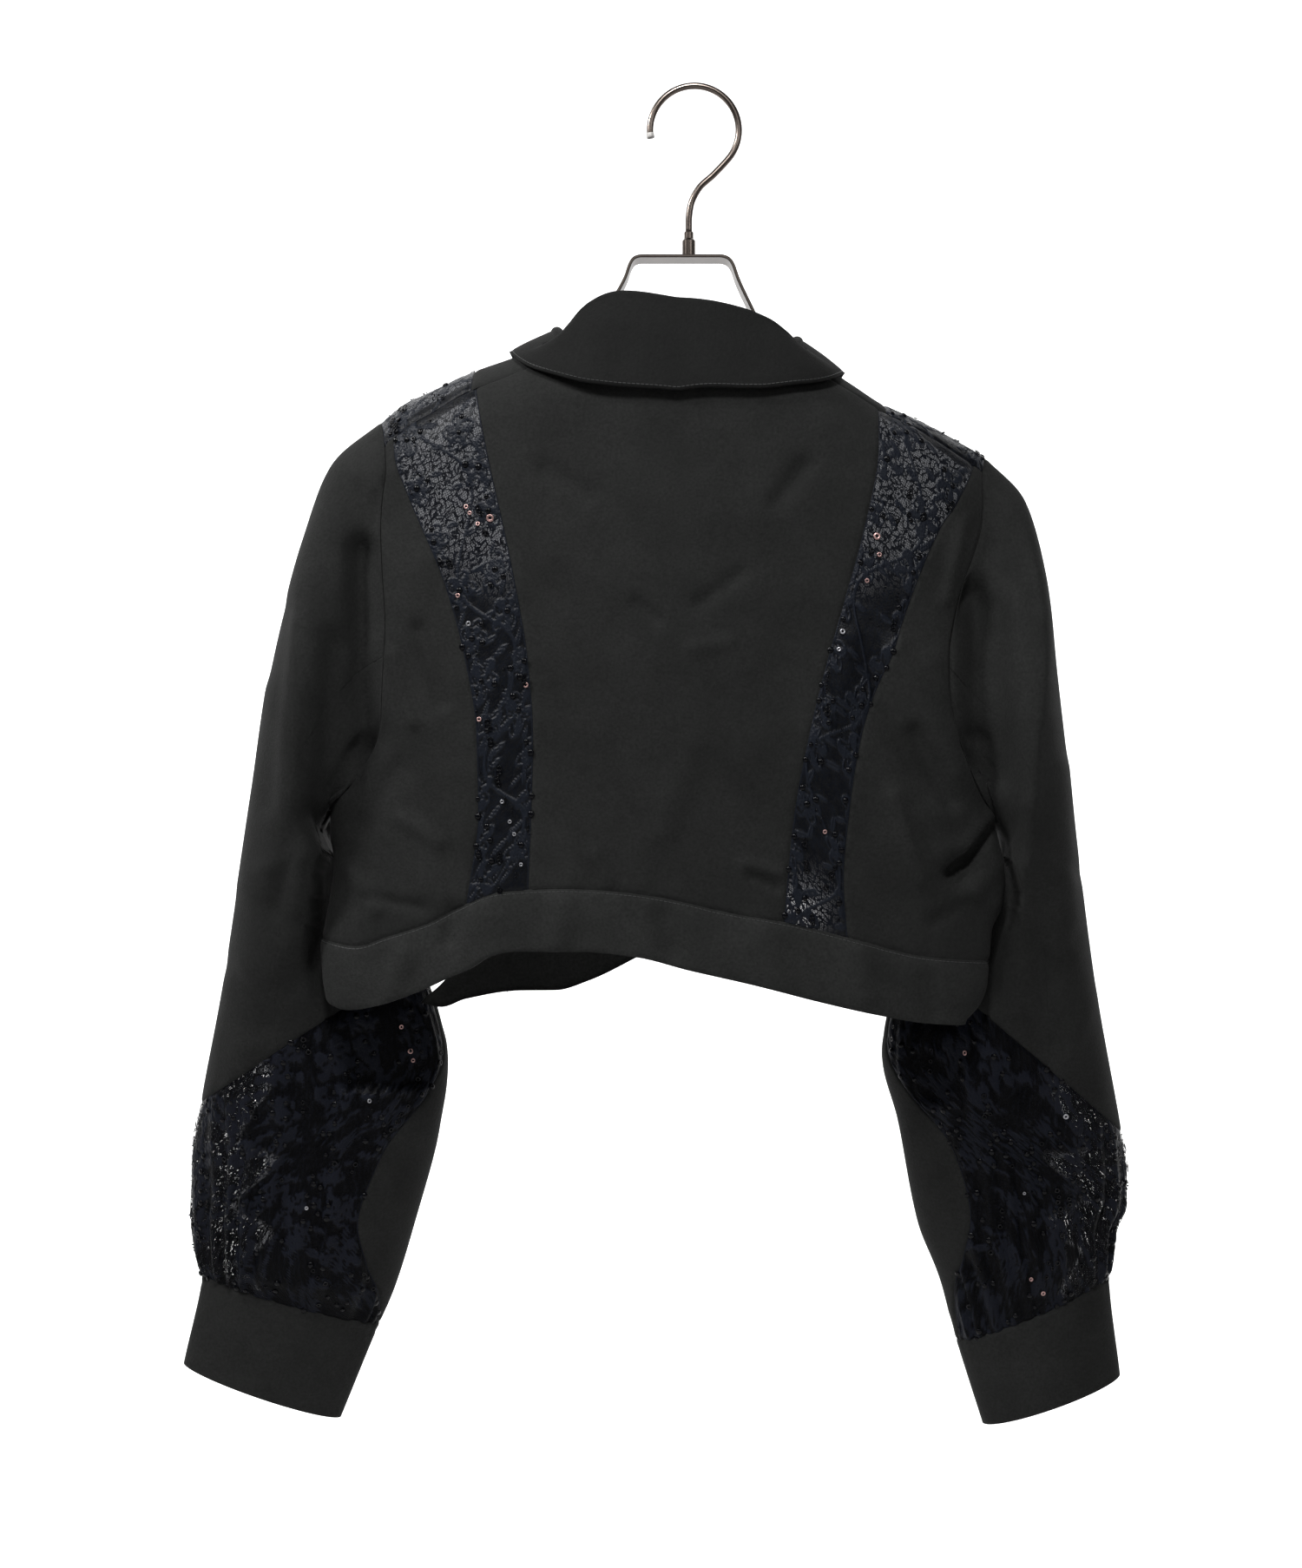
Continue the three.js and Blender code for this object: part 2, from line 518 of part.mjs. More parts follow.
function addFrontOuter(body, name, edges, hem) {
  const order = (outer, inner) => (body.hand < 0 ? [outer, inner] : [inner, outer]);
  const { outside, inside } = edges;
  const [lowOut, lowIn] = [outside.slice(FRONT_LACE_ROWS), inside.slice(FRONT_LACE_ROWS)];
  const [highOut, highIn] = [outside.slice(0, FRONT_LACE_ROWS + 1), inside.slice(0, FRONT_LACE_ROWS + 1)];
  const shift = (edge, amount) => edge.map((cell) => ({ a: cell.a, b: cell.b + amount }));
  const piece = (title, [from, to], topRule, bottomRule, wall, finish) => {
    const top = across(from[0], to[0], 5, topRule);
    const bottom = across(from.at(-1), to.at(-1), 5, bottomRule);
    addBodyPiece(title, patch(top, bottom, from, to), wall, finish);
    return bottom;
  };
  const shoulder = (x) => backTop(x) + SEAM_GAP;
  highOut[0] = { ...highOut[0], b: highOut[0].b + SEAM_GAP };
  highIn[0] = { ...highIn[0], b: highIn[0].b + SEAM_GAP };
  piece(`front_lace_${name}`, order(highOut, highIn), shoulder, undefined, LACE_WALL, LACE);
  const [from, to] = order(lowOut, lowIn);
  from[0] = shift([from[0]], SEAM_GAP)[0];
  to[0] = shift([to[0]], SEAM_GAP)[0];
  return piece(`front_side_${name}`, [from, to], undefined, girthAtHeight(1, hem), CLOTH_WALL, CLOTH);
}

// The inner edge of a centre panel: round the neckline to its end, then down its front edge
function centreEdge(body, endAngle, frontEdge) {
  const turned = [NECK_CORNER, (NECK_CORNER + NECK_OVER_RIDGE) / 2];
  for (let i = 0; i <= NECK_ROWS - ROWS_OVER_RIDGE; i += 1) {
    turned.push(mix(NECK_OVER_RIDGE, endAngle, i / (NECK_ROWS - ROWS_OVER_RIDGE)));
  }
  const neckline = turned.map((angle) => neckCell(-body.hand * angle));
  neckline[0].b += SEAM_GAP;
  return [...neckline.slice(0, -1), ...frontEdge(neckline.at(-1).b, FRONT_ROWS - NECK_ROWS)];
}

// The left front lies inside. The right front laps over it, as far as a plain front band.
function addFronts() {
  const leftSeam = curve(BACK_SEAM, 'x', 'z');
  const rightHem = curve(RIGHT_FRONT_HEM, 'x', 'z');
  const rightSeam = (x) => rightHem(x) + BAND_HEIGHT;
  const lapEdge = curve(FRONT_EDGES, 'z', 'lap');
  const underEdge = curve(FRONT_EDGES, 'z', 'under');
  const bandEdge = curve(FRONT_EDGES, 'z', 'seam');
  const lift = (point) => LAP_LIFT * (1 - ease(point.x, 20, 60));
  const shoulder = (x) => backTop(x) + SEAM_GAP;

  const left = frontEdges(LEFT, leftSeam);
  const leftSide = addFrontOuter(LEFT, 'left', left, leftSeam);
  left.centre[0].b += SEAM_GAP;
  const underLow = crossing(1, underEdge, leftSeam);
  const under = centreEdge(LEFT, UNDER_ANGLE, (from, count) => seam(underEdge, from, underLow, count, 0));
  const leftTop = across(left.centre[0], under[0], CENTRE_COLUMNS, shoulder);
  const leftLow = across(left.centre.at(-1), under.at(-1), CENTRE_COLUMNS, girthAtHeight(1, leftSeam));
  addBodyPiece('front_left', patch(leftTop, leftLow, left.centre, under), CLOTH_WALL, CLOTH);
  addHemBand('hem_band_front_left', 1, [...leftSide, ...leftLow.slice(1)], curve(BACK_HEM, 'x', 'z'));

  const right = frontEdges(RIGHT, rightSeam);
  const rightSide = addFrontOuter(RIGHT, 'right', right, rightSeam);
  right.centre[0].b += SEAM_GAP;
  const seamLow = crossing(1, bandEdge, rightSeam);
  const bandSeam = (shift) => (from, count) => seam(bandEdge, from, seamLow, count, shift);
  const inner = centreEdge(RIGHT, BAND_ANGLE, bandSeam(HALF_GAP));
  const rightTop = across(inner[0], right.centre[0], CENTRE_COLUMNS, shoulder);
  const rightLow = across(inner.at(-1), right.centre.at(-1), CENTRE_COLUMNS, girthAtHeight(1, rightSeam));
  addBodyPiece('front_right', patch(rightTop, rightLow, inner, right.centre), CLOTH_WALL, CLOTH, lift);
  const bandLow = crossing(1, bandEdge, rightHem);
  addHemBand('hem_band_front_right', 1, [...rightLow, ...rightSide.slice(1)], rightHem, lift,
    seam(bandEdge, seamLow, bandLow, BAND_ROWS, HALF_GAP));

  const bandTop = neckEdge(-LAP_ANGLE, -BAND_ANGLE, 3);
  const along = [
    ...bandSeam(-HALF_GAP)(inner[NECK_ROWS].b, FRONT_ROWS - NECK_ROWS),
    ...seam(bandEdge, seamLow, bandLow, BAND_ROWS, -HALF_GAP).slice(1),
  ];
  const outer = seam(lapEdge, bandTop[0].b, crossing(1, lapEdge, rightHem), along.length - 1, 0);
  bandTop[3] = along[0];
  outer[0] = bandTop[0];
  const bandHem = across(outer.at(-1), along.at(-1), 3, girthAtHeight(1, rightHem));
  addBodyPiece('front_band', patch(bandTop, bandHem, outer, along), BAND_WALL, CLOTH, lift);
}

// A sleeve's form: steps round it from the ridge towards the back, and its ring numbers.
// Its first ring is the armhole itself, and the rings turn to level ovals below it.
function sleeveForm(body, rings) {
  const columns = Object.fromEntries(['outX', 'outZ', 'inX', 'inZ', 'half', 'mid']
    .map((name) => [name, curve(rings, 'ring', name)]));
  const loop = Array.from({ length: LOOP_STEPS });
  const place = (cell, step) => {
    const point = bodyPoint(cell.a, cell.b);
    const reach = step === LOOP_STEPS / 2 ? PIT_GAP : ARMHOLE_GAP;
    point.add(new THREE.Vector3(body.hand * reach, 0, HALF_GAP));
    loop[(step + LOOP_STEPS) % LOOP_STEPS] = { point, normal: bodyOutward(cell) };
  };
  body.frontArm.forEach((cell, row) => place(cell, ROWS_OVER_RIDGE - row));
  body.backArm.forEach((cell, row) => place(cell, ROWS_OVER_RIDGE + row));
  const path = new THREE.CatmullRomCurve3(loop.map((entry) => entry.point), true, 'catmullrom', 0.5);
  const axis = (ring) => {
    const outer = new THREE.Vector3(columns.outX(ring), 0, columns.outZ(ring));
    const inner = new THREE.Vector3(columns.inX(ring), 0, columns.inZ(ring));
    const middle = outer.clone().add(inner).multiplyScalar(0.5);
    return { middle, reach: outer.sub(inner).multiplyScalar(0.5) };
  };
  const first = axis(0);
  const form = (step, ring) => {
    const { middle, reach } = axis(ring);
    const turn = (step / LOOP_STEPS) * 2 * Math.PI;
    const start = path.getPoint((((step / LOOP_STEPS) % 1) + 1) % 1);
    const along = start.clone().sub(first.middle).setY(0).dot(first.reach) / first.reach.lengthSq();
    const rest = start.clone().setY(0).sub(first.middle).addScaledVector(first.reach, -along);
    const settled = ease(ring, 0, ARMHOLE_FADES_AT);
    const point = middle.addScaledVector(reach, mix(along, Math.cos(turn), settled));
    point.addScaledVector(rest, 1 - settled);
    point.y = columns.mid(ring) + mix(start.y, -columns.half(ring) * Math.sin(turn), settled);
    return clearOfBody(point, body);
  };
  const centre = (ring) => axis(ring).middle.setY(columns.mid(ring));
  return { form, centre, loop };
}

// A sleeve that passes in front of the body lies against it instead of through it
function clearOfBody(point, body) {
  const pit = bodyPoint(body.backArm.at(-1).a, body.backArm.at(-1).b);
  const room = mix(-3, SLEEVE_CLEARANCE, ease(pit.z - point.z, 0, 45));
  const below = ridgeZ(pit.x) - point.z;
  const half = (sideRight(below) - sideLeft(below)) / 2;
  const sine = (point.x - sideLeft(below) - half) / (half + room);
  if (point.z > pit.z || Math.abs(sine) > 1 || below > 400) return point;
  const front = (depthFront(below) + room) * Math.pow(1 - sine * sine, SECTION_POWER / 2);
  point.y = Math.max(point.y, front);
  return point;
}

function addSleevePiece(name, sleeve, grid, wall, finish, raise = () => 0, closedRound = false) {
  const outer = [];
  const inner = [];
  grid.forEach((row, j) => {
    const normals = row.map((cell) => {
      if (cell.b === 0) return sleeve.loop[(Math.round(cell.a) + LOOP_STEPS) % LOOP_STEPS].normal;
      return outward(sleeve.form, cell, { a: 0.05, b: 0.02 }, sleeve.centre(cell.b));
    });
    const points = row.map((cell, i) => sleeve.form(cell.a, cell.b).addScaledVector(normals[i], raise(i, j)));
    outer.push(points);
    inner.push(points.map((point, i) => point.clone().addScaledVector(normals[i], -wall)));
  });
  add(name, wallGeometry(outer, inner, closedRound), finish);
}

// Top sleeve, under sleeve, gathered lace, forearm piece and cuff of one sleeve
function addSleeve(body, name, rings) {
  const sleeve = sleeveForm(body, rings);
  const half = LOOP_STEPS / 2;
  const forearm = curve(FOREARM, 'ring', 'half');
  const backSeam = (ring) => mix(SLEEVE_SEAM_STEP, 7, ease(ring, 0, 7));
  const frontSeam = (ring) => -mix(SLEEVE_SEAM_STEP, 9, ease(ring, 0, 7));
  const strip = (rows, from, to, count) => rows.map((ring) => Array.from({ length: count + 1 }, (_, i) => ({
    a: mix(from(ring), to(ring), i / count), b: ring,
  })));
  const trimmed = (rows, atStart, atEnd) => rows.map((ring, i) => {
    if (i === 0 && atStart) return ring + RING_GAP;
    return i === rows.length - 1 && atEnd ? ring - RING_GAP : ring;
  });
  const clothRows = trimmed(SLEEVE_ROWS, false, true);
  const open = (ring) => (ring === 0 ? 0 : STEP_GAP);
  addSleevePiece(`sleeve_top_${name}`, sleeve,
    strip(clothRows, frontSeam, backSeam, 2 * SLEEVE_SEAM_STEP), CLOTH_WALL, CLOTH);
  addSleevePiece(`sleeve_under_${name}`, sleeve,
    strip(clothRows, (ring) => backSeam(ring) + open(ring),
      (ring) => LOOP_STEPS + frontSeam(ring) - open(ring), LOOP_STEPS - 2 * SLEEVE_SEAM_STEP),
    CLOTH_WALL, CLOTH);
  const laceRows = trimmed(LACE_ROWS, true, true);
  const depth = curve(GATHERS, 'ring', 'depth');
  const gather = (i, j) => {
    const edge = i === 0 || i === LACE_COLUMNS;
    return edge ? 0 : GATHER_DEPTH * depth(laceRows[j]) * (i % 2 ? 1 : -1);
  };
  addSleevePiece(`sleeve_lace_${name}`, sleeve,
    strip(laceRows, (ring) => forearm(ring) - half + STEP_GAP, (ring) => half - forearm(ring) - STEP_GAP,
      LACE_COLUMNS), LACE_WALL, LACE, gather);
  addSleevePiece(`forearm_${name}`, sleeve,
    strip(laceRows, (ring) => half - forearm(ring), (ring) => half + forearm(ring), 6), CLOTH_WALL, CLOTH);
  const round = Array.from({ length: LOOP_STEPS });
  const cuff = trimmed(CUFF_ROWS, true, false).map((ring) => round.map((_, i) => ({ a: i, b: ring })));
  addSleevePiece(`cuff_${name}`, sleeve, cuff, BAND_WALL, CLOTH, () => 0, true);
}

// The collar: one folded band, up from the neckline as a stand and down as a round fall
function addCollar() {
  const names = ['left', 'right', 'edge', 'lift'];
  const column = Object.fromEntries(names.map((name) => [name, curve(NECK, 'angle', name)]));
  const grid = Array.from({ length: COLLAR_COLUMNS + 1 }, (_, i) => {
    const angle = mix(COLLAR_END_DEGREES, -COLLAR_END_DEGREES, i / COLLAR_COLUMNS);
    const size = Math.abs(angle);
    const cell = neckCell(angle);
    const base = bodyPoint(cell.a, cell.b);
    const away = new THREE.Vector3(base.x - NECK_CENTRE_X, base.y, 0).normalize();
    const foot = base.clone().addScaledVector(away, -COLLAR_INSET).add(new THREE.Vector3(0, 0, COLLAR_RAISE));
    const rise = (angle > 0 ? column.left : column.right)(size) - COLLAR_FOLD_RADIUS;
    const centre = foot.clone().addScaledVector(away, COLLAR_FOLD_RADIUS).setZ(foot.z + rise);
    const round = (turn) => centre.clone()
      .addScaledVector(away, -COLLAR_FOLD_RADIUS * Math.cos(degrees(turn)))
      .add(new THREE.Vector3(0, 0, COLLAR_FOLD_RADIUS * Math.sin(degrees(turn))));
    const reach = angle > 0 ? COLLAR_REACH_LEFT : COLLAR_REACH_RIGHT;
    const edgeX = NECK_CENTRE_X - reach * Math.sin(degrees(angle));
    const edgeCell = onBody(edgeX, column.edge(size));
    const edge = bodyPoint(edgeCell.a, edgeCell.b).addScaledVector(bodyOutward(edgeCell), column.lift(size));
    const fall = (t) => round(180).lerp(edge, t)
      .addScaledVector(away, COLLAR_BULGE * Math.sin(Math.PI * t));
    const middle = foot.clone().lerp(round(0), 0.5);
    const rolled = [0, 50, 90, 140].map(round);
    return [foot, middle, ...rolled, ...[0.15, 0.45, 0.75, 1].map(fall)];
  });
  const rows = grid[0].map((_, j) => grid.map((line) => line[j]));
  const normalAt = (j, i) => {
    if (j < STAND_ROWS) return grid[i][0].clone().sub(grid[i][STAND_ROWS]).setZ(0).normalize();
    const pick = (row, step) => {
      return rows[Math.min(row, rows.length - 1)][THREE.MathUtils.clamp(step, 0, COLLAR_COLUMNS)];
    };
    const alongRow = pick(j, i + 1).clone().sub(pick(j, i - 1));
    return pick(j + 1, i).clone().sub(pick(j - 1, i)).cross(alongRow).normalize();
  };
  const outer = rows.map((row, j) => row.map((point, i) => (
    point.clone().addScaledVector(normalAt(j, i), COLLAR_WALL))));
  add('collar', wallGeometry(outer, rows), CLOTH);
}

// The hanger: a round wire hook, a ferrule, and one flat band that carries both shoulders
function addHanger() {
  const wireRadius = HOOK_WIRE / 2;
  const centreZ = -HOOK_RADIUS + wireRadius;
  const bend = Array.from({ length: 15 }, (_, i) => {
    const turn = degrees(mix(190, -38, i / 14));
    return new THREE.Vector3(HOOK_RADIUS * Math.cos(turn), 0, centreZ + HOOK_RADIUS * Math.sin(turn));
  });
  const stem = HOOK_STEM.map(({ x, z }) => new THREE.Vector3(x, 0, z));
  const path = new THREE.CatmullRomCurve3([...bend, ...stem], false, 'centripetal');
  const section = new THREE.Shape().absarc(0, 0, wireRadius, 0, 2 * Math.PI);
  add('hanger_hook', new THREE.ExtrudeGeometry(section, {
    steps: 36, extrudePath: path, bevelEnabled: false, curveSegments: 4,
  }), NICKEL);

  const profile = FERRULE.map(({ radius, z }) => new THREE.Vector2(radius, z));
  const ferrule = new THREE.LatheGeometry(profile, 14);
  ferrule.rotateX(Math.PI / 2);
  ferrule.translate(stem.at(-1).x, 0, 0);
  add('hanger_ferrule', ferrule, NICKEL);

  const below = (x) => new THREE.Vector2(x, ridgeZ(x) - HANGER_BELOW_RIDGE);
  const middle = HANGER_MIDDLE.map(({ x, z }) => new THREE.Vector2(x, z));
  const leftArm = HANGER_ARM_LEFT.map(below);
  const rightArm = HANGER_ARM_RIGHT.map(below);
  const line = [...leftArm, ...middle, ...rightArm];
  const beside = (distance) => line.map((point, i) => {
    const ahead = line[Math.min(i + 1, line.length - 1)].clone().sub(line[Math.max(i - 1, 0)]).normalize();
    return point.clone().add(new THREE.Vector2(-ahead.y, ahead.x).multiplyScalar(distance));
  });
  const [above, under] = [beside(HANGER_BAND_WALL / 2), beside(-HANGER_BAND_WALL / 2)];
  const outline = new THREE.Shape([...above, ...under.reverse()]);
  const band = new THREE.ExtrudeGeometry(outline, { depth: HANGER_BAND_WIDTH, bevelEnabled: false });
  band.rotateX(Math.PI / 2);
  band.translate(0, HANGER_BAND_WIDTH / 2, 0);
  add('hanger_frame', band, NICKEL);
}

// Small plain buttons down the front band
function addButtons() {
  const lapEdge = curve(FRONT_EDGES, 'z', 'lap');
  BUTTON_HEIGHTS.forEach((z, i) => {
    const cell = onBodyAt(1, lapEdge(z) + BUTTON_INSET, z);
    const normal = bodyOutward(cell);
    const seat = bodyPoint(cell.a, cell.b).addScaledVector(normal, LAP_LIFT + BUTTON_SEAT);
    const button = new THREE.CylinderGeometry(BUTTON_RADIUS, BUTTON_RADIUS, BUTTON_WALL, 16);
    button.translate(0, BUTTON_WALL / 2, 0);
    button.applyQuaternion(new THREE.Quaternion().setFromUnitVectors(new THREE.Vector3(0, 1, 0), normal));
    button.translate(seat.x, seat.y, seat.z);
    add(`button_${i + 1}`, button, HORN);
  });
}

addBack();
addFronts();
addSleeve(LEFT, 'left', LEFT_RINGS);
addSleeve(RIGHT, 'right', RIGHT_RINGS);
addCollar();
addHanger();
addButtons();

export default blouson;
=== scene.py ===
# %% [markdown]
# # A black cropped blouson with lace inserts, on a metal hanger
# This script dresses a jacket whose cutting pattern is already settled in the imported model.
# Each cloth piece there is a plain wall. Here the same pieces are worked out again from the
# same forms, much finer, and get their creases, seams, lace, sequins and stitches.
# We start by loading the imported model.

# %% Load the frame
import math

import bpy
import numpy as np
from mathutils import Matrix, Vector


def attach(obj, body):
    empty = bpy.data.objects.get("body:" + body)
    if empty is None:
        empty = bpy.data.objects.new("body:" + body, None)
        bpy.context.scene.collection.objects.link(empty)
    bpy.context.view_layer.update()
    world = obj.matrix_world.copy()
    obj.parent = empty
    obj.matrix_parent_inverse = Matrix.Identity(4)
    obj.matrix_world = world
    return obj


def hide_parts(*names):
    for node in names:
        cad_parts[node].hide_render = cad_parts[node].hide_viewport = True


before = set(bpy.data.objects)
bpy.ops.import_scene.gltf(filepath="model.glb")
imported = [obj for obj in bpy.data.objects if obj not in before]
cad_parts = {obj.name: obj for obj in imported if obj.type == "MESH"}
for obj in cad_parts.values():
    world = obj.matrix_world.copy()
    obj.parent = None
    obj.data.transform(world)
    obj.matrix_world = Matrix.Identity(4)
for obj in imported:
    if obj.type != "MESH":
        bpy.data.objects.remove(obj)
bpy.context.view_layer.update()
print("packed nodes:", len(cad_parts))

# %% [markdown]
# The jacket's forms are tables of a few sizes in millimetres, with named columns, and smooth
# curves through them. `curve` is a monotone cubic: it never swings past the sizes in the
# table, which keeps a sleeve or a seam from getting waves that the real one lacks.

# %% Tables and curves
MM = 0.001
STEP = 2.6


def table(columns, rows):
    return dict(zip(columns.split(), np.array(rows, float).T))


def curve(rows, source, target):
    order = np.argsort(rows[source])
    x, y = rows[source][order], rows[target][order]
    rise = np.diff(y) / np.diff(x)
    slope = np.zeros_like(x)
    slope[0], slope[-1] = rise[0], rise[-1]
    before, after = rise[:-1], rise[1:]
    same = before * after > 0
    slope[1:-1][same] = 2 * before[same] * after[same] / (before[same] + after[same])

    def at(value):
        value = np.clip(value, x[0], x[-1])
        i = np.clip(np.searchsorted(x, value, side="right") - 1, 0, len(x) - 2)
        width = x[i + 1] - x[i]
        t = (value - x[i]) / width
        u = 1 - t
        cubic = y[i] * (1 + 2 * t) * u * u + y[i + 1] * (3 - 2 * t) * t * t
        return cubic + width * t * u * (slope[i] * u - slope[i + 1] * t)

    return at


def mix(a, b, t):
    return a + (b - a) * t


def ease(value, low, high):
    t = np.clip((value - low) / (high - low), 0, 1)
    return t * t * (3 - 2 * t)


# %% [markdown]
# The body of the jacket hangs flat over the hanger. Its form is a ridge line over the
# shoulders, the places of both sides, and a depth behind and in front. A point on it is
# named by an angle across and by the girth along the cloth from the ridge, negative down
# the back and positive down the front. The way out of the cloth comes from two short steps
# on the form, turned away from a line inside the body.

# %% The body's form
SHOULDER_ROUND = 45
SECTION_POWER = 0.8
SIDE_ANGLE = math.radians(89.93)
SEAM_GAP = -0.24
HALF_GAP = SEAM_GAP / 2
ANGLE_STEP, GIRTH_STEP = 0.004, 0.2
CORE_DEPTH = 14
RIDGE = table("x z", [
    (-229, -226), (-210, -216), (-194, -207), (-177, -195), (-157, -186), (-138, -177), (-115, -169),
    (-87, -159), (-54, -152), (-5, -148), (43, -156), (73, -169), (95, -183), (117, -197),
    (142, -208), (166, -221), (180, -229), (194, -239), (211, -251)])
SIDES = table("below left right", [
    (0, -226, 187), (222, -226, 187), (240, -226, 191), (253, -224, 193), (270, -225, 191),
    (290, -229, 185), (308, -232, 183), (324, -231, 182), (340, -229, 178), (356, -222, 169)])
DEPTHS = table("below back front", [
    (0, 52, 52), (100, 55, 54), (220, 53, 47), (300, 49, 42), (380, 47, 40)])

ridge_z = curve(RIDGE, "x", "z")
side_left, side_right = curve(SIDES, "below", "left"), curve(SIDES, "below", "right")
depth_back, depth_front = curve(DEPTHS, "below", "back"), curve(DEPTHS, "below", "front")


def drop_of(girth):
    turn = np.abs(girth) / SHOULDER_ROUND
    rounded = SHOULDER_ROUND * (1 - np.cos(np.minimum(turn, math.pi / 2)))
    return np.where(turn < math.pi / 2, rounded, SHOULDER_ROUND * (1 - math.pi / 2) + np.abs(girth))


def girth_of(drop):
    rounded = SHOULDER_ROUND * np.arccos(np.clip(1 - drop / SHOULDER_ROUND, 0, 1))
    return np.where(drop < SHOULDER_ROUND, rounded, drop - SHOULDER_ROUND * (1 - math.pi / 2))


# %% [markdown]
# Creases are what make cloth look like cloth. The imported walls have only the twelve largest.
# Here they keep their places and get company: short drag lines from the armholes, soft
# ripples over the hem, and faint wrinkles on the centre panel. Each is a line with a width
# and a height out of the cloth, and no two are alike.

# %% Creases on the body
FOLDS = table("face x1 z1 x2 z2 width height", [
    (-1, -192, -398, -214, -436, 10, -5), (-1, -176, -416, -208, -462, 9, -3.5),
    (-1, -160, -290, -186, -350, 12, 2), (-1, 138, -345, 178, -446, 12, 3.5),
    (-1, 178, -458, 152, -492, 9, -6), (-1, 150, -470, 172, -500, 8, 2.5),
    (-1, -125, -508, -118, -548, 14, 3), (-1, 40, -520, 52, -556, 12, 2),
    (-1, -40, -300, 40, -430, 26, 1.5), (1, -150, -420, -60, -520, 16, 3),
    (1, 150, -400, 60, -470, 16, 3), (1, -190, -380, -150, -450, 12, -3)])
CREASES = table("face x1 z1 x2 z2 width height", [
    (-1, -38, -322, -20, -336, 4, -1.0), (-1, 32, -303, -4, -328, 4.5, -0.9),
    (-1, -8, -352, 26, -346, 4, 0.7), (-1, 24, -478, 56, -487, 3, 1.1),
    (-1, 30, -486, 52, -496, 3, -1.0), (-1, -62, -470, -50, -492, 4, 0.9),
    (-1, -95, -240, -60, -262, 6, -1.1), (-1, 70, -236, 44, -268, 6, -1.2),
    (-1, -170, -330, -150, -392, 5, -1.4), (-1, -186, -345, -168, -404, 4, 1.3),
    (-1, -214, -480, -190, -512, 5, 1.8), (-1, -206, -500, -160, -508, 4, -1.3),
    (-1, -182, -450, -150, -470, 5, 1.3), (-1, 128, -392, 160, -452, 5, -1.8),
    (-1, 116, -430, 140, -500, 6, 1.6), (-1, 158, -398, 184, -462, 4, -1.3),
    (-1, 186, -456, 152, -492, 4, -5), (-1, 186, -448, 158, -474, 5, 3.5),
    (-1, 188, -478, 164, -506, 6, 2.2), (-1, 112, -338, 168, -438, 10, 1.6),
    (-1, 100, -352, 150, -452, 9, -1.2), (-1, 174, -500, 140, -518, 4, -1.4),
    (-1, 166, -262, 150, -330, 5, 1.3), (-1, -184, -560, -176, -532, 8, 1.8),
    (-1, -150, -530, -146, -505, 6, -1.6), (-1, -84, -530, -80, -502, 9, 1.4),
    (-1, -20, -508, -14, -536, 8, -1.4), (-1, 96, -530, 104, -566, 9, 1.7),
    (-1, 140, -548, 148, -576, 6, -1.6), (-1, -120, -300, -108, -380, 9, 1.1),
    (-1, 96, -330, 74, -420, 9, 1.1), (-1, 0, -400, -22, -470, 10, 1.0),
    (1, -120, -250, -96, -330, 8, 1.6), (1, 92, -250, 70, -340, 8, 1.5),
    (1, 148, -330, 120, -400, 7, -1.8), (1, -172, -310, -150, -380, 7, 1.7),
    (1, -90, -420, -112, -500, 6, -1.3), (1, 40, -380, 20, -470, 8, 1.3),
    (1, 176, -450, 130, -500, 6, 1.8), (1, -206, -450, -170, -500, 6, -1.8),
    (1, -40, -350, -70, -440, 7, 1.2), (1, 120, -540, 126, -570, 8, 1.8),
    (1, 60, -470, 76, -500, 7, -1.2), (1, -190, -540, -182, -570, 8, 1.6)])


def lift_of(rows, face, x, z):
    total = np.zeros(np.broadcast(x, z).shape)
    for side, x1, z1, x2, z2, width, height in zip(*rows.values()):
        dx, dz = x2 - x1, z2 - z1
        along = np.clip(((x - x1) * dx + (z - z1) * dz) / (dx * dx + dz * dz), 0.15, 0.85)
        away = np.hypot(x - x1 - along * dx, z - z1 - along * dz) / width
        total += np.where(face == side, height * np.exp(-away * away), 0)
    return total


def body_point(a, b):
    below = drop_of(b)
    left, right = side_left(below), side_right(below)
    x = (left + right) / 2 + (right - left) / 2 * np.sin(a)
    z = ridge_z(x) - below
    face = np.where(b < 0, -1, 1)
    turn = np.sin(np.minimum(np.abs(b) / SHOULDER_ROUND, math.pi / 2))
    flat = np.maximum(np.cos(a), 0) ** SECTION_POWER
    depth = np.where(face < 0, depth_back(below), depth_front(below)) * turn * flat
    lift = lift_of(FOLDS, face, x, z) * turn * np.minimum(1, 1.5 * flat)
    return np.stack([x, face * (depth + lift), z], -1)


def on_body(x, girth):
    below = drop_of(girth)
    left, right = side_left(below), side_right(below)
    angle = np.arcsin(np.clip((x - (left + right) / 2) / ((right - left) / 2), -1, 1))
    return np.stack(np.broadcast_arrays(angle, girth), -1)


def turned_out(form, a, b, step_a, step_b, inside):
    here = form(a, b)
    along_a = (form(a + step_a, b) - here) * np.sign(step_a)[..., None]
    normal = np.cross(along_a, form(a, b + step_b) - here)
    normal /= np.maximum(np.linalg.norm(normal, axis=-1, keepdims=True), 1e-9)
    flip = np.sum(normal * (here - inside), -1) < 0
    return np.where(flip[..., None], -normal, normal)


def body_outward(a, b):
    here = body_point(a, b)
    inside = np.stack([here[..., 0] * 0.9 - 2, 0 * here[..., 1], here[..., 2] - CORE_DEPTH], -1)
    step_a = np.where(a > 0, -ANGLE_STEP, ANGLE_STEP)
    return turned_out(body_point, a, b, step_a, GIRTH_STEP, inside)


print("body is", round(float(side_right(300) - side_left(300))), "mm wide at the waist")

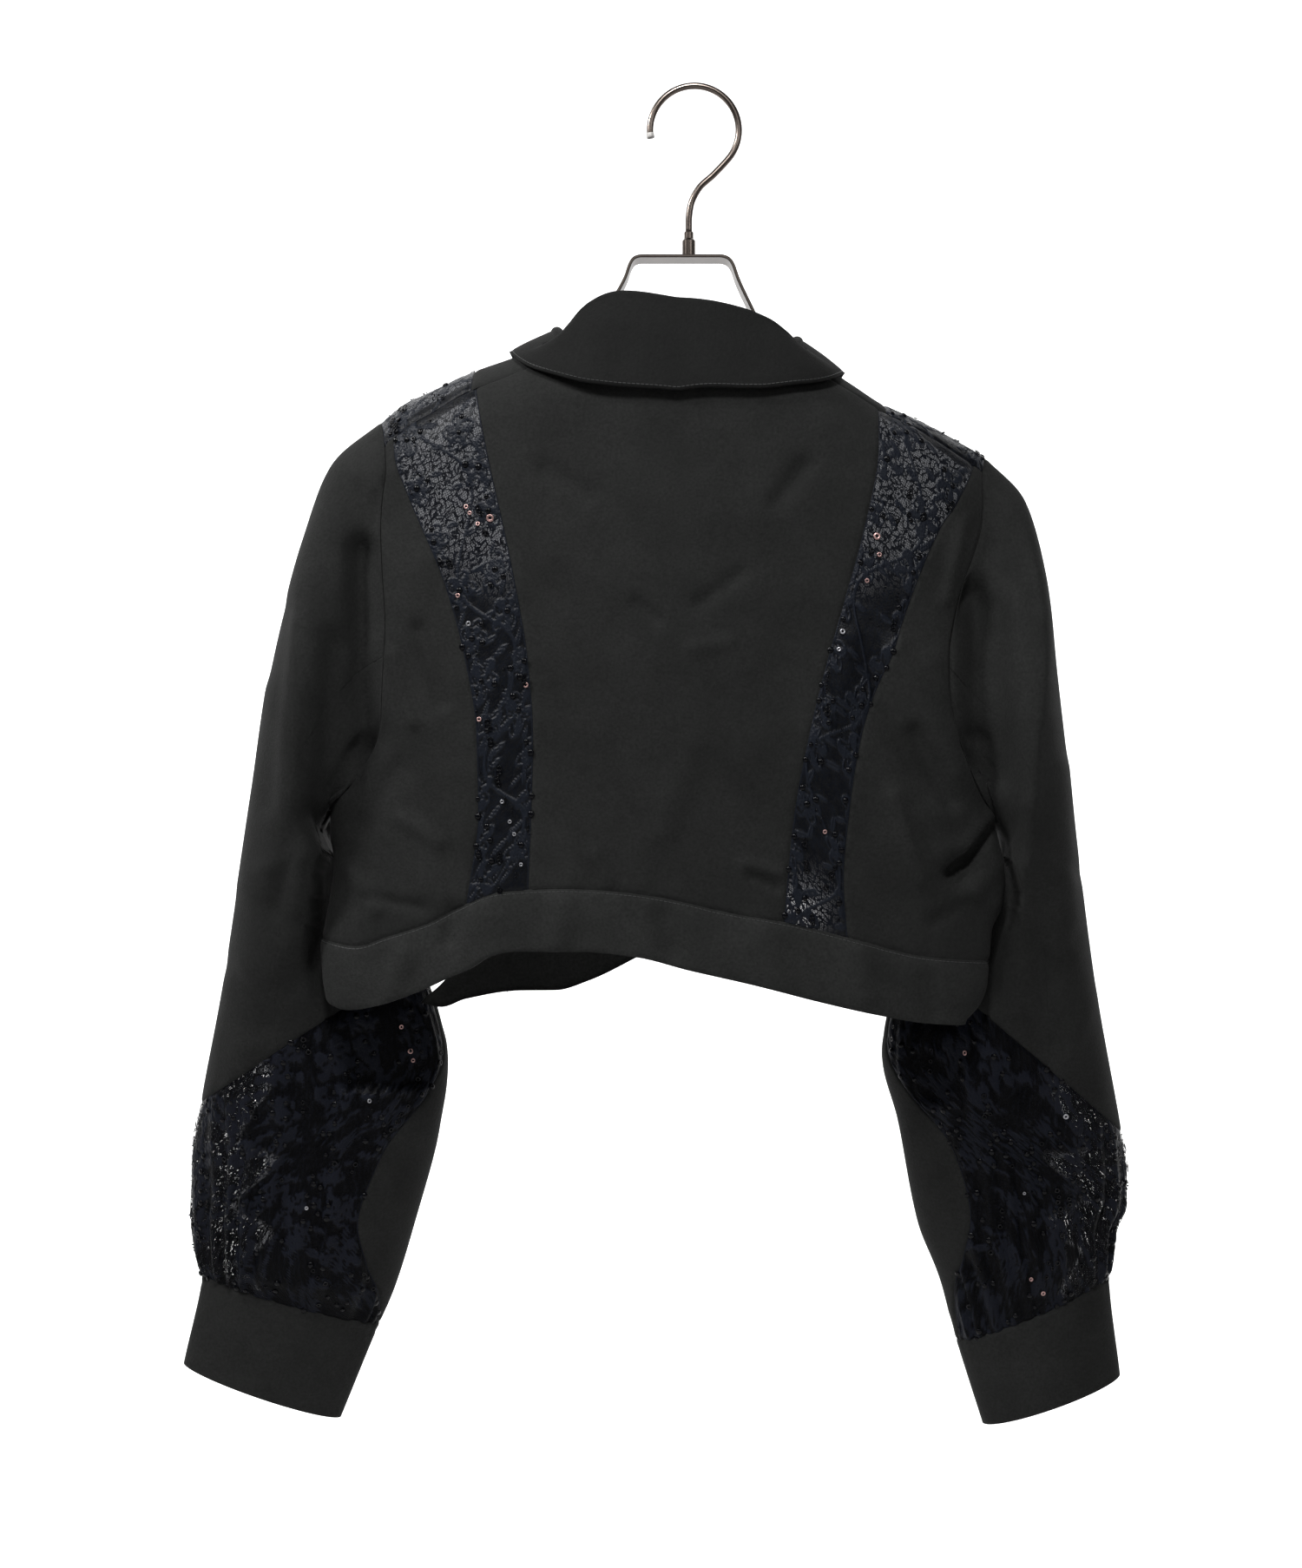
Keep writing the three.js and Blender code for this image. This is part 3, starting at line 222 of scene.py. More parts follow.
# %% [markdown]
# A panel is the surface between four seams. We follow each seam down the form, and fill the
# panel with a Coons patch, which blends its four edges. Near an edge the grid gets closer
# points, so that the cloth can roll down into the seam as real cloth does. Where a line's
# height depends on its own place, a few rounds of correction settle it.

# %% Seams and panels
EDGE_POINTS = (0, 0.5, 1.1, 1.9, 3.0)
NECK_Z = -148.0


def walked(points, axis):
    steps = np.linalg.norm(np.diff(points, axis=axis), axis=-1)
    start = np.zeros_like(np.take(steps, [0], axis=axis))
    return np.concatenate([start, np.cumsum(steps, axis=axis)], axis=axis)


def edge_distance(points):
    over, down = walked(points, 1), walked(points, 0)
    return [over, over[:, -1:] - over, down, down[-1:] - down]


def seam(x_of_z, start, end, shift=0.0, count=161):
    girth = np.linspace(start, end, count)
    x = np.full(count, float(x_of_z(NECK_Z)))
    for _ in range(14):
        x = x_of_z(ridge_z(x) - drop_of(girth))
    return on_body(x + shift, girth)


def crossing(face, x_of_z, z_of_x):
    z = float(z_of_x(0.0))
    for _ in range(40):
        z = mix(z, float(z_of_x(float(x_of_z(z)))), 0.6)
    return face * float(girth_of(float(ridge_z(float(x_of_z(z)))) - z))


def across(start, end, rule=None, count=121):
    t = np.linspace(0, 1, count)[:, None]
    line = mix(np.array(start, float), np.array(end, float), t)
    if rule:
        for _ in range(8):
            x = body_point(line[1:-1, 0], line[1:-1, 1])[:, 0]
            line[1:-1, 1] = rule(x)
    return line


def at_height(face, z_of_x):
    return lambda x: face * girth_of(ridge_z(x) - z_of_x(x))


def spaced(length, step):
    inner = np.arange(EDGE_POINTS[-1] + step, length - EDGE_POINTS[-1] - step / 2, step)
    far = length - np.array(EDGE_POINTS[::-1])
    return np.unique(np.clip(np.concatenate([EDGE_POINTS, inner, far]), 0, length)) / length


def resample(edge, where, form):
    points = form(edge[:, 0], edge[:, 1])
    run = walked(points, 0)
    fraction = run / run[-1]
    return np.stack([np.interp(where, fraction, edge[:, k]) for k in (0, 1)], -1), run[-1]


def coons(top, bottom, left, right, form, step):
    (_, wide), (_, long) = resample(top, [0], form), resample(left, [0], form)
    (_, wide2), (_, long2) = resample(bottom, [0], form), resample(right, [0], form)
    us, ts = spaced(max(wide, wide2), step), spaced(max(long, long2), step)
    top, bottom = resample(top, us, form)[0], resample(bottom, us, form)[0]
    left, right = resample(left, ts, form)[0], resample(right, ts, form)[0]
    u, t = us[None, :, None], ts[:, None, None]
    corners = ((1 - u) * (1 - t) * top[0] + u * (1 - t) * top[-1]
               + (1 - u) * t * bottom[0] + u * t * bottom[-1])
    return (1 - t) * top[None] + t * bottom[None] + (1 - u) * left[:, None] + u * right[:, None] - corners


# %% [markdown]
# Every piece becomes a closed wall: an outer skin, an inner skin and a rim. Its UV map holds
# the distance along the cloth in metres, so a weave or a net follows the cloth as it was cut.
# The size of the cut is measured along the middle of the same wall.

# %% Walls
def link(name, data):
    made = bpy.data.objects.new(name, data)
    bpy.context.scene.collection.objects.link(made)
    return made


def make_mesh(name, vertices, faces, uv=None, material=None, smooth=True):
    mesh = bpy.data.meshes.new(name)
    mesh.from_pydata((np.asarray(vertices) * MM).tolist(), [], faces)
    mesh.polygons.foreach_set("use_smooth", [smooth] * len(mesh.polygons))
    if uv is not None:
        layer = mesh.uv_layers.new(name="cloth")
        loops = np.empty(len(mesh.loops), np.int32)
        mesh.loops.foreach_get("vertex_index", loops)
        layer.data.foreach_set("uv", (np.asarray(uv)[loops] * MM).ravel())
    if material:
        mesh.materials.append(material)
    mesh.update()
    return link(name, mesh)


def settle(piece, replaced=None):
    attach(piece, "root")
    if replaced:
        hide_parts(replaced)


def wall_faces(rows, columns, closed):
    index = np.arange(2 * rows * columns).reshape(2, rows, columns)
    if closed:
        index = np.concatenate([index, index[:, :, :1]], axis=2)
    outer, inner = index

    def quads(a, b, c, d):
        return np.stack([a, b, c, d], -1).reshape(-1, 4)

    parts = [
        quads(outer[:-1, :-1], outer[1:, :-1], outer[1:, 1:], outer[:-1, 1:]),
        quads(inner[:-1, :-1], inner[:-1, 1:], inner[1:, 1:], inner[1:, :-1]),
        quads(outer[0, :-1], outer[0, 1:], inner[0, 1:], inner[0, :-1]),
        quads(outer[-1, :-1], inner[-1, :-1], inner[-1, 1:], outer[-1, 1:]),
    ]
    if not closed:
        parts += [quads(outer[:-1, 0], inner[:-1, 0], inner[1:, 0], outer[1:, 0]),
                  quads(outer[:-1, -1], outer[1:, -1], inner[1:, -1], inner[:-1, -1])]
    return np.concatenate(parts)


def volume_of(vertices, faces):
    a, b, c, d = (vertices[faces[:, k]] for k in range(4))
    return np.sum(a * np.cross(b, c)) + np.sum(a * np.cross(c, d))


PANELS = {}


def make_wall(name, outer, normal, wall, material, closed=False):
    rows, columns = outer.shape[:2]
    inner = outer - normal * wall
    vertices = np.concatenate([outer.reshape(-1, 3), inner.reshape(-1, 3)])
    faces = wall_faces(rows, columns, closed)
    if volume_of(vertices, faces) < 0:
        faces = faces[:, ::-1]
    middle = (outer + inner) / 2
    if closed:
        middle = np.concatenate([middle, middle[:, :1]], axis=1)
    wide, long = walked(middle, 1), walked(middle, 0)
    uv = np.stack([wide - wide[:, -1:] / 2, long], -1)[:, :columns].reshape(-1, 2)
    piece = make_mesh(name, vertices, faces.tolist(), np.concatenate([uv, uv]), material)
    settle(piece)
    PANELS[name] = {"outer": outer, "normal": normal, "wide": wide, "long": long, "piece": piece}
    return piece


# %% [markdown]
# The cloth is a matte charcoal-black plain weave with a soft bloom where light grazes it.
# A Principled shader with a little sheen gives the bloom. The weave is two crossed waves in
# the piece's own UV, so it turns with the cloth, and slow noise keeps the black uneven.

# %% Materials: a small kit
THREAD_PITCH = 0.0006


def new_material(name):
    material = bpy.data.materials.new(name)
    material.use_nodes = True
    tree = material.node_tree
    shader = tree.nodes["Principled BSDF"]
    return material, tree, shader


def node(tree, kind, **settings):
    made = tree.nodes.new(kind)
    for key, value in settings.items():
        setattr(made, key, value)
    return made


def combine(tree, operation, *values):
    made = node(tree, "ShaderNodeMath", operation=operation)
    for socket, value in zip(made.inputs, values):
        if isinstance(value, (int, float)):
            socket.default_value = value
        else:
            tree.links.new(value, socket)
    return made.outputs[0]


def noise(tree, vector, scale, detail=2):
    made = node(tree, "ShaderNodeTexNoise")
    made.inputs["Scale"].default_value = scale
    made.inputs["Detail"].default_value = detail
    tree.links.new(vector, made.inputs["Vector"])
    return made


def bump(tree, height, strength, distance):
    made = node(tree, "ShaderNodeBump")
    made.inputs["Strength"].default_value = strength
    made.inputs["Distance"].default_value = distance
    tree.links.new(height, made.inputs["Height"])
    return made


def ramp(tree, factor, stops):
    made = tree.nodes.new("ShaderNodeValToRGB")
    made.color_ramp.elements[0].position, made.color_ramp.elements[0].color = stops[0]
    made.color_ramp.elements[1].position, made.color_ramp.elements[1].color = stops[1]
    tree.links.new(factor, made.inputs["Fac"])
    return made


def grey(value, tint=(1.0, 1.0, 1.0)):
    return (value * tint[0], value * tint[1], value * tint[2], 1)


def uv_threads(tree, turned):
    place = node(tree, "ShaderNodeMapping")
    place.inputs["Rotation"].default_value = (0, 0, math.radians(90 if turned else 0))
    coordinates = node(tree, "ShaderNodeUVMap", uv_map="cloth")
    tree.links.new(coordinates.outputs["UV"], place.inputs["Vector"])
    wave = node(tree, "ShaderNodeTexWave", wave_type="BANDS", bands_direction="X")
    wave.inputs["Scale"].default_value = 1 / THREAD_PITCH / 3.1416
    wave.inputs["Distortion"].default_value = 0.6
    wave.inputs["Detail"].default_value = 1
    tree.links.new(place.outputs["Vector"], wave.inputs["Vector"])
    return wave.outputs["Fac"]


def cloth_material(name, dark, light, sheen):
    material, tree, shader = new_material(name)
    links = tree.links
    place = node(tree, "ShaderNodeTexCoord").outputs["Object"]
    cloudy = noise(tree, place, 34, 4)
    colours = ramp(tree, cloudy.outputs["Fac"], [
        (0.3, grey(dark, (1, 1.04, 1.0))), (0.72, grey(light, (1, 1.03, 1.0)))])
    slubs = noise(tree, place, 620)
    speckle = node(tree, "ShaderNodeMix", data_type="RGBA", blend_type="MULTIPLY")
    speckle.inputs["Factor"].default_value = 0.55
    links.new(colours.outputs["Color"], speckle.inputs[6])
    flecks = ramp(tree, slubs.outputs["Fac"], [(0.3, grey(0.55)), (0.7, grey(1.5))])
    links.new(flecks.outputs["Color"], speckle.inputs[7])
    links.new(speckle.outputs[2], shader.inputs["Base Color"])
    weave = combine(tree, "MAXIMUM", uv_threads(tree, False), uv_threads(tree, True))
    fine = bump(tree, weave, 0.35, 0.00018)
    soft = bump(tree, slubs.outputs["Fac"], 0.5, 0.0006)
    links.new(fine.outputs["Normal"], soft.inputs["Normal"])
    links.new(soft.outputs["Normal"], shader.inputs["Normal"])
    shader.inputs["Roughness"].default_value = 0.86
    shader.inputs["Specular IOR Level"].default_value = 0.12
    shader.inputs["Sheen Weight"].default_value = sheen
    shader.inputs["Sheen Roughness"].default_value = 0.45
    return material


CLOTH = cloth_material("charcoal_cloth", dark=0.006, light=0.0092, sheen=0.008)
# The hem bands and front band get a lighter copy of the same cloth: a painted light.
BAND_CLOTH_PAINTED_LIGHT = cloth_material("charcoal_band_cloth_painted_light", dark=0.0088, light=0.0126, sheen=0.008)
# The collar gets a darker copy of the same cloth: painted shade.
COLLAR_CLOTH_PAINTED_SHADE = cloth_material("charcoal_collar_cloth_painted_shade", dark=0.0028, light=0.0042, sheen=0.005)
print("cloth materials:", CLOTH.name, BAND_CLOTH_PAINTED_LIGHT.name, COLLAR_CLOTH_PAINTED_SHADE.name)

# %% [markdown]
# The lace is a navy-black net that carries corded flowers. Light comes through the net, and
# none through the flowers. So the shader mixes in Transparent where a Voronoi pattern of
# small cells leaves a hole. Two attributes painted on the mesh steer it. `motif` closes the
# net where a flower lies. The second says how much light comes through the open net: 0
# where the lace is shut, 1 at the shoulders, and more on the sleeves' outer lobes. It also
# paints the open net: near-black where it is 0, for a dark lining and painted shade behind
# the lace, and pale grey where it is 1 or more, a painted light for the light that comes
# through from the far side. Between the large flowers, a coarser and wobbly Voronoi pattern
# stands for the fine cords that join them.

# %% Lace material
NET_CELL = 0.0014
CORD_CELL = 0.0042
SHEER_LIGHT = 0.42
# Pale grey painted into the open net where light comes through the lace: a painted light.
PAINTED_LIGHT_NET = (0.12, 0.122, 0.13, 1)
NET_THREAD, CORD_THREAD = 0.1, 0.14
MOTIF_EDGE = 0.4


def voronoi_lines(tree, vector, cell, randomness):
    cells = node(tree, "ShaderNodeTexVoronoi", feature="DISTANCE_TO_EDGE", voronoi_dimensions="2D")
    cells.inputs["Scale"].default_value = 1 / cell
    cells.inputs["Randomness"].default_value = randomness
    tree.links.new(vector, cells.inputs["Vector"])
    return cells.outputs["Distance"]


def painted(tree, name):
    return node(tree, "ShaderNodeAttribute", attribute_name=name).outputs["Fac"]


def wobbled(tree, vector, scale, reach):
    shaken = noise(tree, vector, scale)
    made = node(tree, "ShaderNodeVectorMath", operation="MULTIPLY_ADD")
    made.inputs[1].default_value = (reach, reach, 0)
    tree.links.new(shaken.outputs["Color"], made.inputs[0])
    tree.links.new(vector, made.inputs[2])
    return made.outputs[0]


def lace_material(name, lining_and_shade, thread, flower, shine, stops, grain, stretch):
    material, tree, shader = new_material(name)
    links = tree.links
    coordinates = node(tree, "ShaderNodeUVMap", uv_map="cloth").outputs["UV"]
    motif, sheer = painted(tree, "motif"), painted(tree, "sheer")
    net = voronoi_lines(tree, coordinates, NET_CELL, 0.35)
    cords = voronoi_lines(tree, wobbled(tree, coordinates, 160, 0.011), CORD_CELL, 1.0)
    open_net = combine(tree, "GREATER_THAN", net, NET_THREAD)
    between_cords = combine(tree, "GREATER_THAN", cords, CORD_THREAD)
    bare = combine(tree, "LESS_THAN", motif, MOTIF_EDGE)
    unfilled = combine(tree, "MULTIPLY", combine(tree, "MULTIPLY", open_net, between_cords), bare)
    holes = combine(tree, "MULTIPLY", combine(tree, "MULTIPLY", unfilled, sheer), SHEER_LIGHT)
    pulled = node(tree, "ShaderNodeMapping")
    pulled.inputs["Scale"].default_value = (1, 1 / stretch, 1)
    links.new(coordinates, pulled.inputs["Vector"])
    cloudy = noise(tree, pulled.outputs["Vector"], grain, 3)
    raised = combine(tree, "MULTIPLY_ADD", motif, 0.9, cloudy.outputs["Fac"])
    surface = ramp(tree, raised, [(stops[0], thread), (stops[1], flower)])
    # The open net's colour is painted: near-black lining and painted shade where the lace is shut, pale
    # grey painted light where it is sheer.
    behind = node(tree, "ShaderNodeMix", data_type="RGBA")
    links.new(sheer, behind.inputs["Factor"])
    behind.inputs[6].default_value, behind.inputs[7].default_value = lining_and_shade, PAINTED_LIGHT_NET
    backed = node(tree, "ShaderNodeMix", data_type="RGBA")
    links.new(unfilled, backed.inputs["Factor"])
    links.new(surface.outputs["Color"], backed.inputs[6])
    links.new(behind.outputs[2], backed.inputs[7])
    links.new(backed.outputs[2], shader.inputs["Base Color"])
    fibres = noise(tree, coordinates, 850)
    height = combine(tree, "MULTIPLY_ADD", fibres.outputs["Fac"], 0.6, raised)
    relief = bump(tree, height, 0.8, 0.0007)
    links.new(relief.outputs["Normal"], shader.inputs["Normal"])
    shader.inputs["Roughness"].default_value = 0.4
    shader.inputs["Specular IOR Level"].default_value = shine
    clear = node(tree, "ShaderNodeBsdfTransparent")
    both = node(tree, "ShaderNodeMixShader")
    links.new(holes, both.inputs[0])
    links.new(shader.outputs["BSDF"], both.inputs[1])
    links.new(clear.outputs["BSDF"], both.inputs[2])
    links.new(both.outputs["Shader"], tree.nodes["Material Output"].inputs["Surface"])
    return material


# The lining colours are near-black: a dark lining and painted shade behind the net.
LACE = lace_material(
    "navy_lace", lining_and_shade=(0.0003, 0.0004, 0.0007, 1), thread=(0.0008, 0.0012, 0.0024, 1),
    flower=(0.0048, 0.006, 0.0092, 1), shine=0.09, stops=(0.4, 0.95), grain=130, stretch=1)
SLEEVE_LACE = lace_material(
    "sleeve_lace", lining_and_shade=(0.0002, 0.00025, 0.0005, 1), thread=(0.0002, 0.00025, 0.0006, 1),
    flower=(0.005, 0.0058, 0.009, 1), shine=0.05, stops=(0.44, 1.05), grain=430, stretch=4)
print("lace material:", LACE.name, "with cells of", NET_CELL * 1000, "mm")

# %% [markdown]
# The hanger is nickel, duller on its flat band, with a pale cap on the hook's tip. The
# sequins are rose, silver and black plastic, with a metal look on the first two, and the
# black is kept from glaring by a low specular level. The buttons are plain dark horn, and
# the thread is dull black.

# %% Metal, sequins, buttons and thread
def shiny_material(name, colour, metallic, roughness, grain, depth):
    material, tree, shader = new_material(name)
    place = node(tree, "ShaderNodeTexCoord")
    uneven = noise(tree, place.outputs["Object"], grain, 5)
    low = tuple(0.82 * c for c in colour) + (1,)
    colours = ramp(tree, uneven.outputs["Fac"], [(0.35, low), (0.65, tuple(colour) + (1,))])
    tree.links.new(colours.outputs["Color"], shader.inputs["Base Color"])
    relief = bump(tree, uneven.outputs["Fac"], 0.25, depth)
    tree.links.new(relief.outputs["Normal"], shader.inputs["Normal"])
    shader.inputs["Metallic"].default_value = metallic
    shader.inputs["Roughness"].default_value = roughness
    return material


SEQUIN = {"metallic": 0.8, "roughness": 0.3, "grain": 700, "depth": 0.0001}
ROSE = shiny_material("rose_sequin", (0.4, 0.25, 0.235), **SEQUIN)
SILVER = shiny_material("silver_sequin", (0.3, 0.3, 0.32), **SEQUIN)
JET = shiny_material("jet_sequin", (0.0012, 0.0013, 0.002), 0.0, 0.2, grain=700, depth=0.0001)
JET.node_tree.nodes["Principled BSDF"].inputs["Specular IOR Level"].default_value = 0.12
NICKEL = shiny_material("nickel", (0.12, 0.1, 0.088), 1.0, 0.26, grain=60, depth=0.00004)
DULL_NICKEL = shiny_material("dull_nickel", (0.07, 0.059, 0.052), 1.0, 0.36, grain=60, depth=0.00004)
HOLDER_TIP = shiny_material("hook_tip", (0.3, 0.29, 0.28), 0.0, 0.35, grain=60, depth=0.0001)
HORN = shiny_material("dark_horn", (0.022, 0.02, 0.019), 0.0, 0.3, grain=90, depth=0.0002)
THREAD = shiny_material("black_thread", (0.02, 0.021, 0.021), 0.0, 0.55, grain=1500, depth=0.0001)
print("trim materials ready")

# %% [markdown]
# Lace flowers. Each has five petals, a ring and a knot in its middle, joined by a winding
# stem with small leaves. They are drawn as a height field over the lace strip, so the same
# numbers raise the mesh, close the net, and say where sequins are sewn.

# %% Lace flowers
GOLDEN = math.radians(137.5)
FLOWER_GAP, LANE_WIDTH = 30.0, 34
FLOWER_SIZES = (9.5, 13.5)


def flower_rows(wide, long, seed):
    draw = np.random.default_rng(seed)
    half = float(np.abs(wide).max())
    lanes = max(1, int(round(2 * half / LANE_WIDTH)))
    flowers = []
    for lane in range(lanes):
        middle = -half + (lane + 0.5) * 2 * half / lanes
        down = 10 + 15 * (lane % 2)
        while down < float(long.max()) - 6:
            sway = draw.uniform(-0.22, 0.22) * 2 * half / lanes
            flowers.append((middle + sway, down, draw.uniform(*FLOWER_SIZES), len(flowers) * GOLDEN))
            down += FLOWER_GAP * draw.uniform(0.85, 1.15)
    return flowers


def petals(dx, dz, size, turn):
    radius, angle = np.hypot(dx, dz), np.arctan2(dz, dx) + turn
    wave = np.abs(np.cos(2.5 * angle))
    edge = size * (0.58 + 0.42 * wave)
    outline = np.exp(-((radius - edge) / 0.75) ** 2)
    inner = np.exp(-((radius - 0.62 * edge) / 0.55) ** 2) * (wave > 0.3)
    eye = np.exp(-((radius - 0.24 * size) / 0.6) ** 2)
    veins = 0.8 * np.exp(-((wave - 1) * radius / 0.6) ** 2) * (radius < 0.6 * edge)
    filled = 0.75 * (radius < edge) * (np.cos(5 * angle + size) > 0.1)
    return np.maximum.reduce([outline, inner, eye, veins, filled])


def leaf(dx, dz, size, turn):
    along = dx * np.cos(turn) + dz * np.sin(turn)
    side = -dx * np.sin(turn) + dz * np.cos(turn)
    width = 0.3 * size * np.maximum(1 - (along / size) ** 2, 0)
    inside = np.clip((width - np.abs(side)) / 0.8 + 0.3, 0, 1) * (np.abs(along) < size)
    return inside * (1 - 0.7 * np.exp(-(side / 0.5) ** 2))


def motif_field(wide, long, seed):
    flowers = flower_rows(wide, long, seed)
    field = np.zeros_like(wide)
    for x, z, size, turn in flowers:
        near = (np.abs(wide - x) < 2.4 * size) & (np.abs(long - z) < 2.4 * size)
        dx, dz = (wide - x)[near], (long - z)[near]
        value = petals(dx, dz, size, turn)
        for k in range(3):
            aim = turn * 1.7 + k * 2.1
            reach = size * 1.45
            leaf_at = leaf(dx - reach * math.cos(aim), dz - reach * math.sin(aim), size * 0.55, aim + 0.5)
            value = np.maximum(value, leaf_at)
        field[near] = np.maximum(field[near], value)
    stem = np.abs(wide - np.abs(wide).max() * 0.45 * np.sin(long / 17 + seed))
    field = np.maximum(field, 0.8 * np.clip((1.3 - stem) / 0.6, 0, 1))
    edge = np.minimum(wide - wide[:, :1], wide[:, -1:] - wide)
    field = np.maximum(field, 0.6 * np.clip((1.0 - edge) / 0.5, 0, 1))
    return np.clip(field, 0, 1), flowers


# %% [markdown]
# Now the panels. A panel is pushed out by its creases, sinks a little at its seams, and
# puckers beside them, because the sewing thread is always a little shorter than the cloth.
# The puckers come from a few waves with odd lengths, so they don't look ruled. The lace is
# see-through over the shoulders and in one spot above the hem, as in the picture, and is
# closed over the seam allowance at its top. Where it is see-through its open net is painted
# pale grey, a painted light; where it is shut the net is painted near-black, for a dark
# lining and painted shade.

# %% Dressing a body panel
CLOTH_WALL, LACE_WALL, BAND_WALL = 1.4, 1.1, 2.2
PUCKER_DEPTH, PUCKER_REACH = 0.34, 7
SEAM_ROLL, ROLL_WIDTH = 0.75, 1.5
GROOVE_DEPTH, GROOVE_WIDTH = 0.4, 1.1
STITCH_INSET = 1.9
ALLOWANCE = 7.5
CREASE_STRENGTH = 2.0
MOTIF_RAISE = 0.35
SHEER_ABOVE = (-325, -275)
SPOT_X, SPOT_Z, SPOT_SIZE = 62, -505, 17


def puckers(along, seed):
    slow = np.sin(along / 5.3 + 1.7 * seed) + 0.7 * np.sin(along / 3.1 + 0.9 * seed)
    return slow * (0.6 + 0.4 * np.sin(along / 41 + seed))


def dress(points, normal, lift, seed, groove=(), sewn=(0, 1, 2, 3)):
    sides = edge_distance(points)
    along = [walked(points, 0), walked(points, 0), walked(points, 1), walked(points, 1)]
    move = lift.copy()
    for k in sewn:
        distance = sides[k]
        near = np.exp(-distance / PUCKER_REACH) * np.minimum(distance / 3, 1)
        move -= SEAM_ROLL * np.exp(-(distance / ROLL_WIDTH) ** 2)
        move += PUCKER_DEPTH * puckers(along[k], seed + k) * near
    for side, inset in groove:
        move -= GROOVE_DEPTH * np.exp(-((sides[side] - inset) / GROOVE_WIDTH) ** 2)
    return points + normal * move[..., None]


def body_piece(name, grid, wall, material, lap=None, seed=1, groove=(), motif=None):
    a = np.clip(grid[..., 0], -SIDE_ANGLE, SIDE_ANGLE)
    b = grid[..., 1]
    points, normal = body_point(a, b), body_outward(a, b)
    fade = np.minimum(1, 1.5 * np.maximum(np.cos(a), 0) ** SECTION_POWER)
    face = np.where(b < 0, -1, 1)
    lift = CREASE_STRENGTH * lift_of(CREASES, face, points[..., 0], points[..., 2]) * fade
    if lap is not None:
        lift = lift + lap(points[..., 0])
    field = None
    if motif is not None:
        wide, long = walked(points, 1), walked(points, 0)
        field, flowers = motif_field(wide - wide[:, -1:] / 2, long, motif)
        lift = lift + MOTIF_RAISE * field
    outer = dress(points, normal, lift, seed, groove)
    piece = make_wall(name + "_cloth", outer, normal, wall, material)
    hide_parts(name)
    if field is not None:
        x, z = points[..., 0], points[..., 2]
        spot = np.exp(-((x - SPOT_X) ** 2 + (z - SPOT_Z) ** 2) / SPOT_SIZE ** 2) * (face < 0)
        # The see-through map also paints the open net: pale grey painted light where it is high, near-black
        # lining and painted shade where it is low.
        shown_and_lit = np.maximum(0.02 + 0.98 * ease(z + 5 * np.sin(x / 7), *SHEER_ABOVE), spot)
        paint(piece, motif=field, sheer=shown_and_lit * ease(walked(points, 0), ALLOWANCE, ALLOWANCE + 0.6))
        PANELS[name + "_cloth"].update(flowers=flowers)


def paint(piece, **fields):
    for name, field in fields.items():
        layer = piece.data.attributes.new(name, "FLOAT", "POINT")
        layer.data.foreach_set("value", np.tile(field.ravel(), 2).astype(np.float32))


# %% [markdown]
# The back has a centre panel, two curved lace inserts and two side panels over one hem band.
# The seam tables give each line's distance from the middle at each height.

# %% Seam tables of the body
BACK_INNER = table("z left right", [
    (-177, -136, 117), (-205, -131, 112), (-236, -125, 110), (-276, -116, 102), (-320, -107, 90),
    (-358, -101, 79), (-403, -98, 68), (-446, -99, 60), (-493, -101, 55), (-520, -102, 53)])
BACK_OUTER = table("z left right", [
    (-207, -184, 172), (-230, -183, 172), (-260, -173, 160), (-276, -166, 149), (-309, -152, 134),
    (-356, -139, 117), (-401, -132, 100), (-451, -131, 92), (-490, -136, 89), (-530, -143, 92)])
FRONT_PRINCESS = table("z left right", [
    (-177, -136, 117), (-267, -139, 118), (-380, -135, 112), (-530, -128, 108)])
ARMHOLES = {
    "left": table("z x", [
        (-207, -194), (-222, -190), (-243, -188), (-259, -190), (-277, -191), (-304, -190),
        (-339, -188), (-371, -190), (-394, -191), (-407, -194), (-416, -198), (-430, -207),
        (-441, -217), (-448, -226)]),
    "right": table("z x", [
        (-229, 180), (-243, 177), (-259, 177), (-272, 176), (-281, 174), (-295, 169), (-310, 163),
        (-329, 158), (-355, 154), (-373, 154), (-394, 157), (-414, 164), (-433, 173), (-449, 182),
        (-459, 187)])}
PITS = {"left": (-226.0, -448.0), "right": (187.0, -459.0)}
BACK_TOP = table("x girth", [
    (-210, -47), (-184, -46), (-136, -40), (-87, -39), (-7, -39), (74, -33), (117, -28), (172, -33),
    (200, -33)])
BACK_SEAM = table("x z", [
    (-232, -527), (-208, -531), (-188, -525), (-161, -516), (-144, -507), (-117, -497), (-78, -495),
    (-44, -497), (-12, -502), (18, -509), (52, -515), (92, -525), (141, -537), (183, -541)])
BACK_HEM = table("x z", [
    (-232, -566), (-215, -571), (-197, -568), (-168, -558), (-151, -550), (-137, -544), (-124, -536),
    (-111, -533), (-71, -533), (-37, -536), (-5, -544), (34, -553), (80, -565), (110, -572),
    (141, -578), (183, -582)])
RIGHT_FRONT_HEM = table("x z", [
    (-176, -570), (-160, -574), (-145, -569), (-110, -564), (-88, -564), (-67, -558), (-36, -543),
    (12, -517), (59, -501), (79, -508), (100, -530), (135, -562), (183, -582)])
FRONT_EDGES = table("z lap seam under", [
    (-222, -35, 20, 14), (-300, -62, -7, 0), (-400, -96, -41, -15), (-500, -132, -93, -35),
    (-530, -142, -111, -40), (-545, -149, -116, -44), (-559, -160, -117, -48), (-570, -173, -117, -50)])
BAND_HEIGHT = 42
LAP_LIFT = 3.7
FRONT_LACE_Z = -267
FRONT_LACE_SHARE = 9 / 16

back_top = curve(BACK_TOP, "x", "girth")
back_seam, back_hem = curve(BACK_SEAM, "x", "z"), curve(BACK_HEM, "x", "z")
right_hem = curve(RIGHT_FRONT_HEM, "x", "z")


def right_seam(x):
    return right_hem(x) + BAND_HEIGHT


